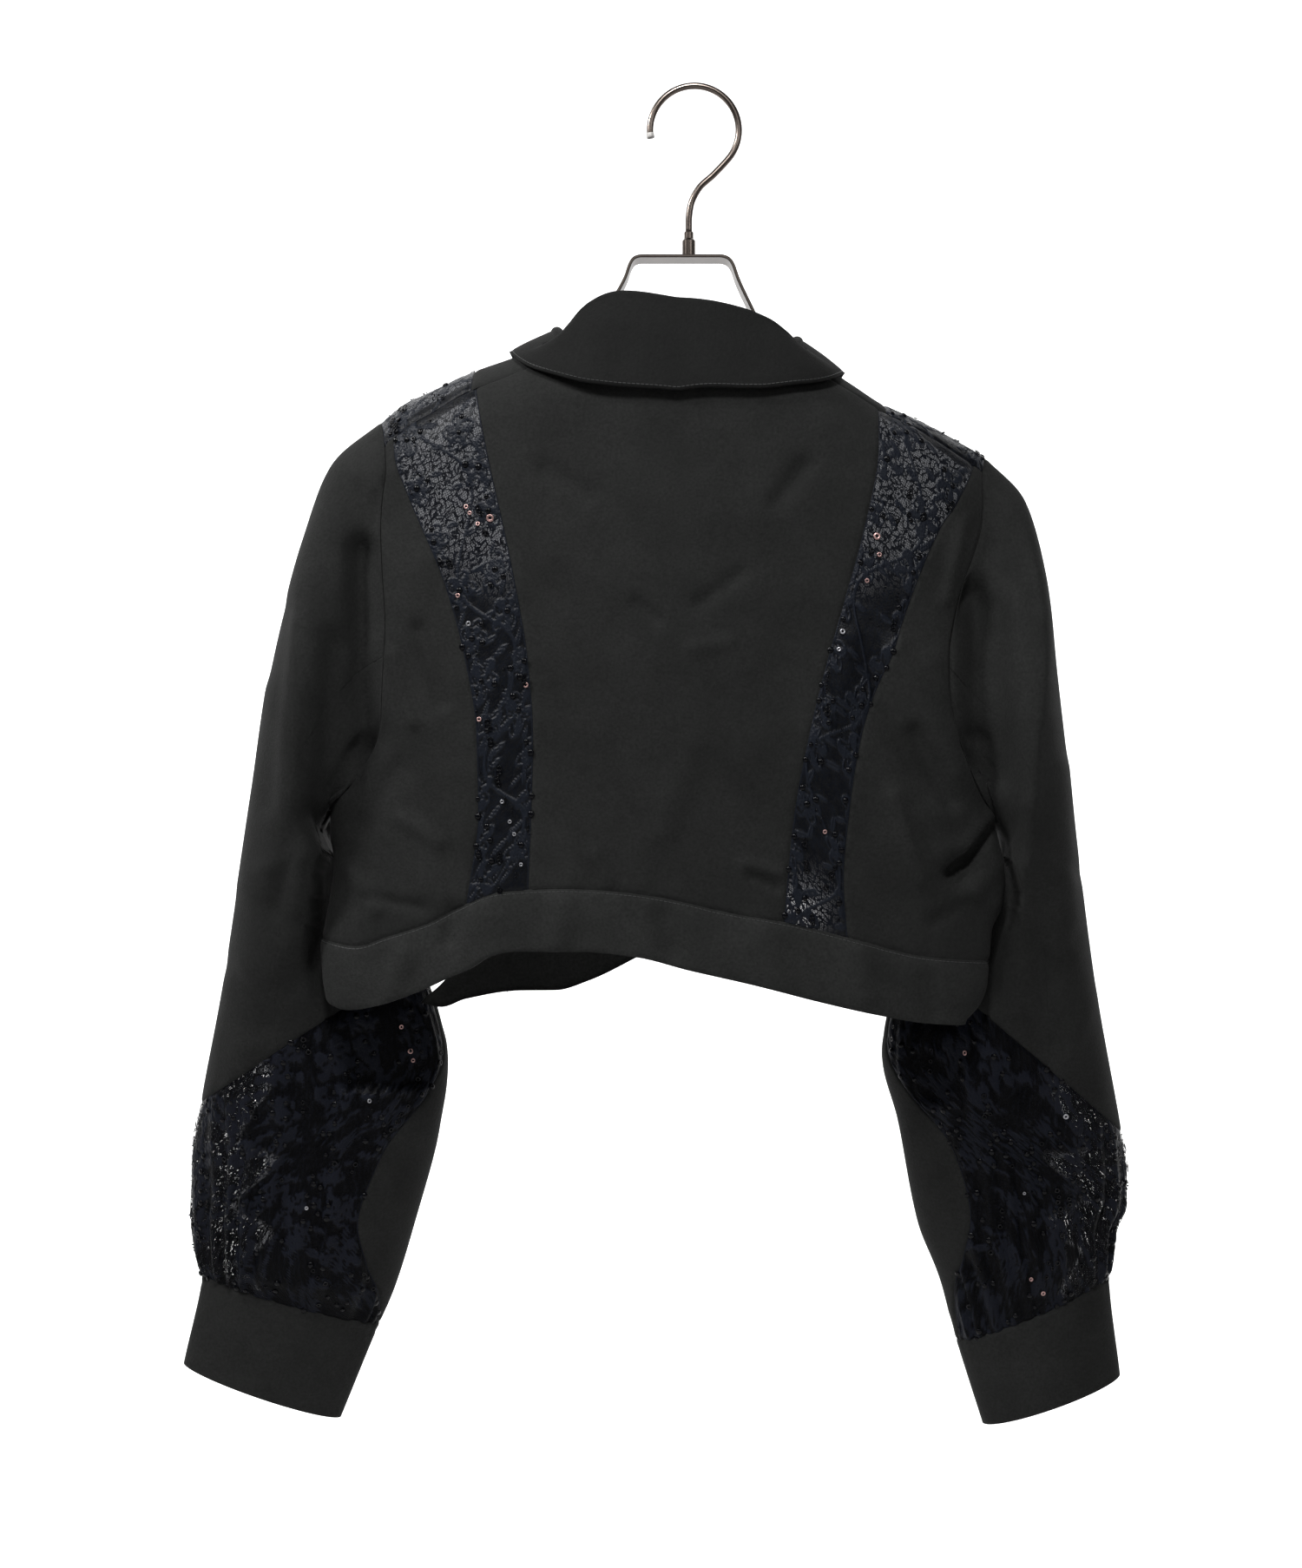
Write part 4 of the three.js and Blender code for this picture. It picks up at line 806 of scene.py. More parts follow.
class Side:
    """The seams of one side of the body, the wearer's left or right."""

    def __init__(self, key):
        self.key, self.hand = key, -1 if key == "left" else 1
        self.inner = curve(BACK_INNER, "z", key)
        self.outer = curve(BACK_OUTER, "z", key)
        self.princess = curve(FRONT_PRINCESS, "z", key)
        self.armhole = curve(ARMHOLES[key], "z", "x")
        pit_x, self.pit_z = PITS[key]
        self.pit_ridge = float(ridge_z(pit_x))
        self.pit_girth = float(girth_of(self.pit_ridge - self.pit_z))
        self.arm_top = self.top_girth(self.armhole)
        self.pit_x = pit_x

    def top_girth(self, line):
        x = float(line(-208.0))
        for _ in range(12):
            x = float(line(float(ridge_z(x) - drop_of(back_top(x)))))
        return float(back_top(x))

    def side(self, face, hem):
        low = float(girth_of(self.pit_ridge - float(hem(self.pit_x))))
        girth = face * np.linspace(self.pit_girth, low, 60)
        return np.stack([np.full(60, self.hand * SIDE_ANGLE), girth], -1)

    def back_arm(self):
        line = seam(self.armhole, self.arm_top, -self.pit_girth)
        line[-1, 0] = self.hand * SIDE_ANGLE
        return line


LEFT, RIGHT = Side("left"), Side("right")
print("armhole girths:", round(LEFT.pit_girth), "and", round(RIGHT.pit_girth), "mm")

# %% Back panels
LACE_STEP = 1.2


def full_seam(side, line, shift):
    return seam(line, side.top_girth(line), crossing(-1, line, back_seam), shift)


def back_panel(name, left, right, wall, material, seed, motif=None):
    top = across(left[0], right[0], back_top)
    bottom = across(left[-1], right[-1], at_height(-1, back_seam))
    step = STEP if motif is None else LACE_STEP
    grid = coons(top, bottom, left, right, body_point, step)
    body_piece(name, grid, wall, material, seed=seed, motif=motif)


left_edge = np.concatenate([LEFT.back_arm(), LEFT.side(-1, back_seam)[1:]])
right_edge = np.concatenate([RIGHT.back_arm(), RIGHT.side(-1, back_seam)[1:]])
back_panel("back_side_left", left_edge, full_seam(LEFT, LEFT.outer, -HALF_GAP), CLOTH_WALL, CLOTH, 1)
back_panel("back_lace_left", full_seam(LEFT, LEFT.outer, HALF_GAP), full_seam(LEFT, LEFT.inner, -HALF_GAP),
           LACE_WALL, LACE, 2, motif=11)
back_panel("back_centre", full_seam(LEFT, LEFT.inner, HALF_GAP), full_seam(RIGHT, RIGHT.inner, -HALF_GAP),
           CLOTH_WALL, CLOTH, 3)
back_panel("back_lace_right", full_seam(RIGHT, RIGHT.inner, HALF_GAP),
           full_seam(RIGHT, RIGHT.outer, -HALF_GAP), LACE_WALL, LACE, 4, motif=23)
back_panel("back_side_right", full_seam(RIGHT, RIGHT.outer, HALF_GAP), right_edge, CLOTH_WALL, CLOTH, 5)


def hem_band(name, face, seam_line, hem_line, left, right, seed, lap=None):
    top = across(left[0], right[0], at_height(face, seam_line))
    bottom = across(left[-1], right[-1], at_height(face, hem_line))
    grid = coons(top, bottom, left, right, body_point, STEP)
    body_piece(name, grid, BAND_WALL, BAND_CLOTH_PAINTED_LIGHT, lap=lap, seed=seed, groove=[(2, STITCH_INSET)])


def band_end(side, face, seam_line, hem_line):
    start = face * float(girth_of(side.pit_ridge - float(seam_line(side.pit_x)))) + face * SEAM_GAP
    end = face * float(girth_of(side.pit_ridge - float(hem_line(side.pit_x))))
    return np.stack([np.full(40, side.hand * SIDE_ANGLE), np.linspace(start, end, 40)], -1)


def lowered(z_of_x):
    return lambda x: z_of_x(x) - SEAM_GAP


hem_band("hem_band_back", -1, lowered(back_seam), back_hem, band_end(LEFT, -1, back_seam, back_hem),
         band_end(RIGHT, -1, back_seam, back_hem), 6)
print("back panels:", [name for name in PANELS])

# %% [markdown]
# The front isn't in view, so it is finished plainly: the wearer's right front laps over the
# left with a band and three buttons, and lace runs over each shoulder as it does behind.

# %% Front panels
NECK_CENTRE_X, NECK_HALF_WIDTH = -11, 73
NECK_CORNER, NECK_OVER_RIDGE = 75, 95
UNDER_ANGLE, BAND_ANGLE, LAP_ANGLE = 195, 161, 200
NECK = table("angle girth left right edge lift", [
    (0, -39, 23, 23, -76, 5), (30, -39, 30, 20.5, -67, 5), (45, -39, 25.5, 17.5, -57, 4.5),
    (60, -39, 15.2, 12.5, -44, 3.6), (75, -36, 8.4, 7.6, -25, 2.8), (95, 0, 6.5, 6, 6, 2.6),
    (110, 30, 6, 6, 42, 4.5), (130, 62, 6, 6, 88, 7.5), (150, 88, 6.6, 6.6, 122, 8),
    (168, 101, 6.6, 6.6, 140, 8), (180, 104, 6, 6, 142, 8)])
neck_girth = curve(NECK, "angle", "girth")


def neck_cells(angles):
    angles = np.atleast_1d(np.asarray(angles, float))
    x = NECK_CENTRE_X - NECK_HALF_WIDTH * np.sin(np.radians(angles))
    turned = np.where(np.abs(angles) > 180, 360 - np.abs(angles), np.abs(angles))
    corner_x = NECK_CENTRE_X - np.sign(angles) * NECK_HALF_WIDTH * math.sin(math.radians(NECK_CORNER))
    share = (turned - NECK_CORNER) / (NECK_OVER_RIDGE - NECK_CORNER)
    over = mix(back_top(corner_x), 0, np.clip(share, 0, 1))
    girth = np.where(turned <= NECK_CORNER, back_top(x), np.where(share < 1, over, neck_girth(turned)))
    return on_body(x, girth)


def shoulder(x):
    return back_top(x) + SEAM_GAP


lap_edge, under_edge = curve(FRONT_EDGES, "z", "lap"), curve(FRONT_EDGES, "z", "under")
band_edge = curve(FRONT_EDGES, "z", "seam")


def lap_lift(x):
    return LAP_LIFT * (1 - ease(x, 20, 60))


def front_outer(side, hem, seed):
    lace_low = float(girth_of(float(ridge_z(float(side.princess(FRONT_LACE_Z)))) - FRONT_LACE_Z))
    arm_low = side.pit_girth * FRONT_LACE_SHARE
    start = side.top_girth(side.princess) + SEAM_GAP
    shift = side.hand * HALF_GAP
    inner_high = seam(side.princess, start, lace_low, shift)
    inner_low = seam(side.princess, lace_low + SEAM_GAP, crossing(1, side.princess, hem), shift)
    outer_high = seam(side.armhole, side.arm_top + SEAM_GAP, arm_low)
    arm_end = seam(side.armhole, arm_low + SEAM_GAP, side.pit_girth)
    outer_low = np.concatenate([arm_end[:-1], side.side(1, hem)])
    for name, outer, inner, rule, wall, material, motif in (
            ("front_lace_", outer_high, inner_high, None, LACE_WALL, LACE, 31 + seed),
            ("front_side_", outer_low, inner_low, at_height(1, hem), CLOTH_WALL, CLOTH, None)):
        left, right = (outer, inner) if side.hand < 0 else (inner, outer)
        top = across(left[0], right[0], shoulder if motif else None)
        bottom = across(left[-1], right[-1], rule)
        grid = coons(top, bottom, left, right, body_point, STEP if motif is None else LACE_STEP)
        body_piece(name + side.key, grid, wall, material, seed=seed, motif=motif)


def centre_front(side, name, end_angle, edge_line, hem, seed, shift=0.0, lap=None):
    start = side.top_girth(side.princess) + SEAM_GAP
    centre = seam(side.princess, start, crossing(1, side.princess, hem), -side.hand * HALF_GAP)
    neck = neck_cells(-side.hand * np.linspace(NECK_CORNER, end_angle, 120))
    neck[0, 1] += SEAM_GAP
    down = seam(edge_line, float(neck[-1, 1]), crossing(1, edge_line, hem), shift)
    inner = np.concatenate([neck[:-1], down])
    left, right = (centre, inner) if side.hand < 0 else (inner, centre)
    top = across(left[0], right[0], shoulder)
    bottom = across(left[-1], right[-1], at_height(1, hem))
    grid = coons(top, bottom, left, right, body_point, STEP)
    body_piece(name, grid, CLOTH_WALL, CLOTH, lap=lap, seed=seed)
    return down


front_outer(LEFT, back_seam, 7)
under = centre_front(LEFT, "front_left", UNDER_ANGLE, under_edge, back_seam, 8)
under_end = seam(under_edge, float(under[-1, 1]) + SEAM_GAP, crossing(1, under_edge, back_hem))
hem_band("hem_band_front_left", 1, lowered(back_seam), back_hem, band_end(LEFT, 1, back_seam, back_hem),
         under_end, 9)

front_outer(RIGHT, right_seam, 10)
band_side = centre_front(RIGHT, "front_right", BAND_ANGLE, band_edge, right_seam, 11, HALF_GAP, lap_lift)
band_low = crossing(1, band_edge, right_hem)
end_line = seam(band_edge, float(band_side[-1, 1]) + SEAM_GAP, band_low, HALF_GAP)
hem_band("hem_band_front_right", 1, lowered(right_seam), right_hem, end_line,
         band_end(RIGHT, 1, right_seam, right_hem), 12, lap_lift)

band_top = neck_cells(np.linspace(LAP_ANGLE, BAND_ANGLE, 60) * -1)
along_band = seam(band_edge, float(band_side[0, 1]), band_low, -HALF_GAP)
band_top[-1] = along_band[0]
free_edge = seam(lap_edge, float(band_top[0, 1]), crossing(1, lap_edge, right_hem))
free_edge[0] = band_top[0]
band_hem = across(free_edge[-1], along_band[-1], at_height(1, right_hem))
front_band_grid = coons(band_top, band_hem, free_edge, along_band, body_point, STEP)
body_piece("front_band", front_band_grid, BAND_WALL, BAND_CLOTH_PAINTED_LIGHT, lap=lap_lift, seed=13,
           groove=[(0, STITCH_INSET), (1, STITCH_INSET)])
print("body panels:", len(PANELS))

# %% [markdown]
# A sleeve starts as the armhole itself. Over the first rings it turns into level ovals, and
# it swings in front of the body as the arm of a hanging jacket does. Steps count round it,
# from its top over the back. Rings count down it: cloth to 7, gathered lace to 11, then cuff.

# %% The sleeve's form
LOOP_STEPS = 32
SLEEVE_CLEARANCE = 8
ARMHOLE_GAP, PIT_GAP = 0.45, 1.4
ARMHOLE_FADES_AT = 2.4
STEP_GAP, RING_GAP = -0.02, -0.004
SEAM_STEP = 11
RING_COLUMNS = "ring outX outZ inX inZ half mid"
LEFT_RINGS = table(RING_COLUMNS, [
    (0, -194, -207, -226, -448, 46, 0), (1, -225, -234, -233, -453, 49, 0),
    (2, -243, -281, -233, -459, 54, 1), (3, -262, -358, -230, -471, 56, 5),
    (4, -275, -433, -219, -492, 55, 13), (5, -287, -493, -212, -510, 50, 24),
    (6, -300, -563, -203, -526, 43, 34), (7, -316, -636, -178, -545, 39, 46),
    (8, -323, -676, -158, -610, 37, 52), (9, -324, -706, -164, -656, 36, 56),
    (10, -321, -732, -180, -716, 34, 58), (10.7, -319, -742, -193, -758, 30, 58),
    (11, -318, -749, -203, -781, 21, 58), (12, -330, -807, -228, -842, 20, 58)])
RIGHT_RINGS = table(RING_COLUMNS, [
    (0, 180, -229, 187, -459, 46, 0), (1, 205, -256, 190, -464, 49, 0),
    (2, 217, -300, 193, -469, 54, 1), (3, 224, -360, 193, -480, 56, 5),
    (4, 233, -420, 191, -495, 55, 14), (5, 243, -480, 180, -508, 51, 26),
    (6, 256, -560, 165, -522, 45, 36), (7, 275, -655, 140, -541, 40, 46),
    (8, 279, -682, 122, -604, 38, 51), (9, 279, -702, 133, -651, 36, 55),
    (10, 272, -722, 146, -716, 34, 58), (10.7, 271, -738, 160, -752, 30, 58),
    (11, 270, -750, 171, -792, 24, 58), (12, 277, -814, 188, -846, 23, 58)])
FOREARM = table("ring half", [
    (7, 0.5), (7.8, 0.9), (8.3, 2.5), (9, 4.8), (9.7, 5.4), (10.4, 4.2), (11, 0.9)])
GATHERS = table("ring depth", [
    (7, 0), (7.25, 0.35), (7.6, 0.5), (8.3, 0.55), (9, 0.7), (9.7, 0.9), (10.4, 1), (10.9, 0.75),
    (11, 0.2)])
GATHER_DEPTH = 3.0
GATHER_COUNT = 23
SHEER_STEPS, LOBE_SHEER = 5.2, 2.2
LEVEL = np.array([1, 0, 1])


class Sleeve:
    """One sleeve: where each step and ring of it lies."""

    def __init__(self, side, rings):
        self.side = side
        self.column = {name: curve(rings, "ring", name) for name in RING_COLUMNS.split()[1:]}
        self.middle_0, self.reach_0 = self.axis(np.array(0.0))
        self.steps = np.linspace(-LOOP_STEPS / 2, LOOP_STEPS / 2, 513)
        girth = np.where(self.steps < 0, -side.pit_girth * self.steps / 16,
                         np.where(self.steps < 2, side.arm_top * self.steps / 2,
                                  mix(side.arm_top, -side.pit_girth, (self.steps - 2) / 14)))
        x = np.full(girth.shape, float(side.armhole(-300.0)))
        for _ in range(14):
            x = side.armhole(ridge_z(x) - drop_of(girth))
        cells = on_body(x, girth)
        cells[[0, -1], 0] = side.hand * SIDE_ANGLE
        at_pit = np.exp(-((np.abs(self.steps) - 16) / 0.6) ** 2)
        shift = np.stack([side.hand * mix(ARMHOLE_GAP, PIT_GAP, at_pit), 0 * x, 0 * x + HALF_GAP], -1)
        self.loop = body_point(cells[:, 0], cells[:, 1]) + shift
        self.loop_normal = body_outward(cells[:, 0], cells[:, 1])

    def axis(self, ring):
        out = np.stack([self.column["outX"](ring), 0 * ring, self.column["outZ"](ring)], -1)
        inner = np.stack([self.column["inX"](ring), 0 * ring, self.column["inZ"](ring)], -1)
        return (out + inner) / 2, (out - inner) / 2

    def around(self, rows, step):
        step = (step + 16) % LOOP_STEPS - 16
        return np.stack([np.interp(step, self.steps, rows[:, k]) for k in range(3)], -1)

    def centre(self, ring):
        middle = self.axis(ring)[0]
        middle[..., 1] = self.column["mid"](ring)
        return middle

    def point(self, step, ring):
        middle, reach = self.axis(ring)
        turn = step / LOOP_STEPS * 2 * math.pi
        start = self.around(self.loop, step)
        offset = (start - self.middle_0) * LEVEL
        along = offset @ self.reach_0 / np.sum(self.reach_0 ** 2)
        settled = ease(ring, 0, ARMHOLE_FADES_AT)
        where = middle + reach * mix(along, np.cos(turn), settled)[..., None]
        where += (offset - self.reach_0 * along[..., None]) * (1 - settled)[..., None]
        oval = -self.column["half"](ring) * np.sin(turn)
        where[..., 1] = self.column["mid"](ring) + mix(start[..., 1], oval, settled)
        return self.clear_of_body(where)

    def clear_of_body(self, where):
        x, z = where[..., 0], where[..., 2]
        room = mix(-3, SLEEVE_CLEARANCE, ease(self.side.pit_z - z, 0, 45))
        below = self.side.pit_ridge - z
        left, right = side_left(below), side_right(below)
        half = (right - left) / 2
        sine = (x - left - half) / (half + room)
        front = (depth_front(below) + room) * np.maximum(1 - sine * sine, 0) ** (SECTION_POWER / 2)
        beside = (z < self.side.pit_z) & (np.abs(sine) < 1) & (below < 400)
        where[..., 1] = np.where(beside, np.maximum(where[..., 1], front), where[..., 1])
        return where

    def outward(self, step, ring):
        down = np.where(ring > 11.9, -0.02, 0.02)
        here = self.point(step, ring)
        along_ring = self.point(step, ring + down) - here
        normal = np.cross(self.point(step + 0.05, ring) - here, along_ring)
        normal /= np.maximum(np.linalg.norm(normal, axis=-1, keepdims=True), 1e-9)
        flip = np.sum(normal * (here - self.centre(ring)), -1) < 0
        normal = np.where(flip[..., None], -normal, normal)
        start = self.around(self.loop_normal, step)
        blend = mix(start, normal, ease(ring, 0, 0.25)[..., None])
        return blend / np.linalg.norm(blend, axis=-1, keepdims=True)


# %% [markdown]
# The sleeves have their own creases, placed from the picture for the back and in the
# same manner on the hidden sides: a dark valley beside each armhole, long soft ridges down
# the arm, and a few short ones at the elbow where the cloth turns.

# %% Creases and gathers on the sleeves
SLEEVE_CREASES = {
    "left": table("face x1 z1 x2 z2 width height", [
        (-1, -202, -400, -216, -500, 8, -7), (-1, -203, -262, -200, -450, 8, -11),
        (-1, -206, -250, -190, -274, 7, -3.5), (-1, -217, -330, -222, -452, 9, -5),
        (-1, -224, -320, -244, -540, 9, 2.6), (-1, -262, -350, -282, -520, 9, 2),
        (-1, -246, -300, -262, -470, 7, -2.2), (-1, -232, -440, -262, -520, 8, -3.2),
        (-1, -208, -520, -262, -566, 7, -2.4), (-1, -214, -502, -256, -536, 6, 2),
        (-1, -296, -540, -262, -590, 7, -2), (-1, -190, -556, -236, -612, 7, 2.4),
        (-1, -280, -590, -300, -640, 8, 1.8), (-1, -222, -586, -232, -640, 6, -1.6),
        (-1, -226, -470, -270, -486, 6, 1.4), (1, -246, -300, -268, -460, 11, -3),
        (1, -222, -330, -236, -480, 10, 3), (1, -290, -520, -240, -560, 8, -2.5),
        (1, -230, -520, -282, -600, 8, 2.2), (1, -262, -420, -290, -520, 8, 1.8),
        (1, -206, -560, -250, -600, 8, -2)]),
    "right": table("face x1 z1 x2 z2 width height", [
        (-1, 168, -390, 180, -505, 9, -8), (-1, 170, -290, 172, -455, 8, -13),
        (-1, 181, -300, 184, -450, 7, -7), (-1, 196, -290, 202, -470, 8, 3),
        (-1, 207, -372, 214, -585, 8, -2.6), (-1, 222, -400, 236, -560, 8, 2.2),
        (-1, 196, -470, 206, -560, 7, 1.8), (-1, 196, -268, 206, -330, 8, -1.8),
        (-1, 184, -500, 222, -548, 7, -2.2), (-1, 172, -520, 214, -580, 7, 2.2),
        (-1, 240, -520, 206, -580, 7, -2), (-1, 250, -560, 222, -630, 8, 2),
        (-1, 160, -560, 190, -618, 6, -1.8), (-1, 192, -590, 200, -645, 7, 1.8),
        (-1, 214, -470, 244, -492, 6, -1.4), (1, 200, -300, 212, -460, 11, -3),
        (1, 190, -340, 200, -500, 10, 3), (1, 250, -520, 200, -570, 8, -2.5),
        (1, 180, -540, 232, -600, 8, 2.2), (1, 222, -420, 240, -520, 8, 1.8),
        (1, 170, -570, 212, -610, 8, -2)])}
forearm_half = curve(FOREARM, "ring", "half")
gather_depth = curve(GATHERS, "ring", "depth")


def gathers(step, ring, seed):
    turn = step / LOOP_STEPS * 2 * math.pi
    warped = turn + 0.1 * np.sin(3 * turn + seed) + 0.05 * np.sin(7 * turn + 2 * seed)
    wander = 0.22 * np.sin(ring * 2.1 + 3 * turn + seed) * ease(11 - ring, 0, 3)
    strength = 0.72 + 0.28 * np.sin(2 * turn + 1.3 * seed + ring)
    wide = np.cos(GATHER_COUNT * warped + 4 * wander)
    fine = 0.3 * np.cos(2.4 * GATHER_COUNT * warped + seed) * ease(ring, 9.5, 11)
    return GATHER_DEPTH * gather_depth(ring) * strength * (wide + fine)


def back_seam_step(ring):
    return mix(SEAM_STEP, 7, ease(ring, 0, 7))


def front_seam_step(ring):
    return -mix(SEAM_STEP, 9, ease(ring, 0, 7))


def sleeve_piece(name, sleeve, high, low, first, last, wall, material, motif=None,
                 gathered=False, closed=False, groove=(), sewn=(0, 1, 2, 3), seed=1):
    step_mm = LACE_STEP * 1.1 if motif is not None else STEP
    probe = np.linspace(high, low, 60)
    middle = (first(probe) + last(probe)) / 2
    tall = float(walked(sleeve.point(middle, probe), 0)[-1])
    wide_at = (high + low) / 2
    steps = np.linspace(float(first(wide_at)), float(last(wide_at)), 90)
    wide = float(walked(sleeve.point(steps, np.full(90, wide_at)), 0)[-1])
    t = spaced(tall, step_mm)[:, None]
    count = round(wide / step_mm)
    u = (np.arange(count) / count if closed else spaced(wide, step_mm))[None]
    ring = mix(high, low, t) + 0 * u
    step = mix(first(ring), last(ring), u)
    points, normal = sleeve.point(step, ring), sleeve.outward(step, ring)
    turn = np.abs(np.sin(step / LOOP_STEPS * 2 * math.pi))
    side = np.where(np.sin(step / LOOP_STEPS * 2 * math.pi) > 0, -1, 1)
    creases = lift_of(SLEEVE_CREASES[sleeve.side.key], side, points[..., 0], points[..., 2])
    lift = creases * turn ** 0.35 * ease(ring, 0, 0.12) * (1 - ease(ring, 9.5, 11))
    if gathered:
        edge = np.minimum(*edge_distance(points)[:2])
        lift = 0.5 * lift + gathers(step, ring, seed) * np.minimum(edge / 6, 1)
    field = None
    if motif is not None:
        over, down = walked(points, 1), walked(points, 0)
        field, flowers = motif_field(over - over[:, -1:] / 2, down, motif)
        lift = lift + 0.3 * field
    if closed:
        down = walked(points, 0)
        lift = lift - SEAM_ROLL * np.exp(-(down / ROLL_WIDTH) ** 2)
        for _, inset in groove:
            lift = lift - GROOVE_DEPTH * np.exp(-((down - inset) / GROOVE_WIDTH) ** 2)
        pleats = np.cos(GATHER_COUNT * 1.02 * step / LOOP_STEPS * 2 * math.pi)
        lift = lift + 0.35 * pleats * np.exp(-down / 9)
        outer = points + normal * lift[..., None]
    else:
        outer = dress(points, normal, lift, seed, groove, sewn)
    piece = make_wall(name + "_cloth", outer, normal, wall, material, closed=closed)
    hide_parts(name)
    if field is not None:
        # The outer lobes are see-through, and their open net is painted pale grey there: a painted light.
        # Elsewhere the net is painted near-black, for a dark lining and painted shade.
        inside = ease(np.abs(step) + 0.9 * np.sin(5 * ring), SHEER_STEPS, SHEER_STEPS + 0.8)
        paint(piece, motif=field, sheer=LOBE_SHEER - LOBE_SHEER * inside)
        PANELS[name + "_cloth"].update(flowers=flowers, field=field)
    return piece


def make_sleeve(side, rings, seed):
    sleeve, key, half = Sleeve(side, rings), side.key, LOOP_STEPS / 2

    def open_seam(ring):
        return STEP_GAP * ease(ring, 0, 0.2)

    sleeve_piece("sleeve_top_" + key, sleeve, 0, 7 - RING_GAP, front_seam_step, back_seam_step,
                 CLOTH_WALL, CLOTH, sewn=(2, 3), seed=seed)
    sleeve_piece("sleeve_under_" + key, sleeve, 0, 7 - RING_GAP, lambda r: back_seam_step(r) + open_seam(r),
                 lambda r: LOOP_STEPS + front_seam_step(r) - open_seam(r), CLOTH_WALL, CLOTH, sewn=(2, 3),
                 seed=seed + 1)
    sleeve_piece("sleeve_lace_" + key, sleeve, 7 + RING_GAP, 11 - RING_GAP,
                 lambda r: forearm_half(r) - half + STEP_GAP, lambda r: half - forearm_half(r) - STEP_GAP,
                 LACE_WALL, SLEEVE_LACE, motif=50 + seed, gathered=True, seed=seed + 2)
    sleeve_piece("forearm_" + key, sleeve, 7 + RING_GAP, 11 - RING_GAP, lambda r: half - forearm_half(r),
                 lambda r: half + forearm_half(r), CLOTH_WALL, CLOTH, seed=seed + 3)
    sleeve_piece("cuff_" + key, sleeve, 11 + RING_GAP, 12, lambda r: 0 * r, lambda r: LOOP_STEPS + 0 * r,
                 BAND_WALL, CLOTH, closed=True, groove=[(2, 6.0)], seed=seed + 4)
    return sleeve


make_sleeve(LEFT, LEFT_RINGS, 20)
make_sleeve(RIGHT, RIGHT_RINGS, 30)
print("sleeve pieces:", sum("sleeve" in name or "forearm" in name or "cuff" in name for name in PANELS))

# %% [markdown]
# The collar is one folded band. Its stand rises from the neckline, rolls over at the top, and
# its fall comes down as a round flap. It swells a little in the middle of the fall, and its
# free edge waves by a millimetre, as an edge cut on the curve does.

# %% Collar
COLLAR_WALL = 1.5
COLLAR_FOLD_RADIUS = 2.5
COLLAR_END = 168
COLLAR_BULGE = 1.2
COLLAR_INSET, COLLAR_RAISE = 1.6, 1.0
COLLAR_REACH = 102
COLLAR_STAND_SHARE, COLLAR_ROLL_SHARE = 0.3, 0.22
COLLAR_FALL_START = COLLAR_STAND_SHARE + COLLAR_ROLL_SHARE
neck_column = {name: curve(NECK, "angle", name) for name in ("left", "right", "edge", "lift")}


def collar_rows(angles, shares):
    cells = neck_cells(angles)
    base = body_point(cells[:, 0], cells[:, 1])
    away = np.stack([base[:, 0] - NECK_CENTRE_X, base[:, 1], 0 * base[:, 0]], -1)
    away /= np.linalg.norm(away, axis=-1, keepdims=True)
    foot = base - away * COLLAR_INSET + np.array([0, 0, COLLAR_RAISE])
    size = np.abs(angles)
    rise = np.where(angles > 0, neck_column["left"](size), neck_column["right"](size)) - COLLAR_FOLD_RADIUS
    centre = foot + away * COLLAR_FOLD_RADIUS
    centre[:, 2] += rise
    edge_x = NECK_CENTRE_X - COLLAR_REACH * np.sin(np.radians(angles))
    edge_cells = on_body(edge_x, neck_column["edge"](size))
    edge = body_point(edge_cells[:, 0], edge_cells[:, 1])
    edge += body_outward(edge_cells[:, 0], edge_cells[:, 1]) * neck_column["lift"](size)[:, None]
    up = np.array([0, 0, 1])

    def roll(turn):
        return centre + COLLAR_FOLD_RADIUS * (up * math.sin(turn) - away * math.cos(turn))

    rows = []
    for share in shares:
        if share < COLLAR_STAND_SHARE:
            rows.append(mix(foot, roll(0), share / COLLAR_STAND_SHARE))
        elif share < COLLAR_STAND_SHARE + COLLAR_ROLL_SHARE:
            rows.append(roll(math.pi * (share - COLLAR_STAND_SHARE) / COLLAR_ROLL_SHARE))
        else:
            t = (share - COLLAR_FALL_START) / (1 - COLLAR_FALL_START)
            rows.append(mix(roll(math.pi), edge, t) + away * COLLAR_BULGE * math.sin(math.pi * t))
    return np.array(rows)


def make_collar():
    angles = np.linspace(COLLAR_END, -COLLAR_END, 200)
    shares = np.concatenate([
        np.linspace(0, COLLAR_STAND_SHARE, 10)[:-1],
        COLLAR_STAND_SHARE + np.linspace(0, COLLAR_ROLL_SHARE, 10)[:-1],
        COLLAR_FALL_START + (1 - COLLAR_FALL_START) * np.linspace(0, 1, 22)])
    inner = collar_rows(angles, shares)
    down, along = np.gradient(inner, axis=0), np.gradient(inner, axis=1)
    normal = np.cross(down, along)
    normal /= np.maximum(np.linalg.norm(normal, axis=-1, keepdims=True), 1e-9)
    stand = inner[:1] - inner[12:13]
    stand[..., 2] = 0
    stand /= np.linalg.norm(stand, axis=-1, keepdims=True)
    low = ease(shares, COLLAR_STAND_SHARE * 0.7, COLLAR_STAND_SHARE)[:, None, None]
    normal = mix(stand, normal, low)
    normal /= np.linalg.norm(normal, axis=-1, keepdims=True)
    outer = inner + normal * COLLAR_WALL
    run = walked(outer, 1)[-1]
    fall = ease(shares, 0.55, 1)[:, None]
    wave = fall * (0.5 * np.sin(run / 21 + 1) + 0.35 * np.sin(run / 12.7))[None]
    run = walked(outer, 0)
    seam_groove = GROOVE_DEPTH * np.exp(-((run[-1:] - run - STITCH_INSET) / GROOVE_WIDTH) ** 2)
    outer = outer + normal * (wave - seam_groove)[..., None]
    piece = make_wall("collar_cloth", outer, normal, COLLAR_WALL, COLLAR_CLOTH_PAINTED_SHADE)
    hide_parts("collar")


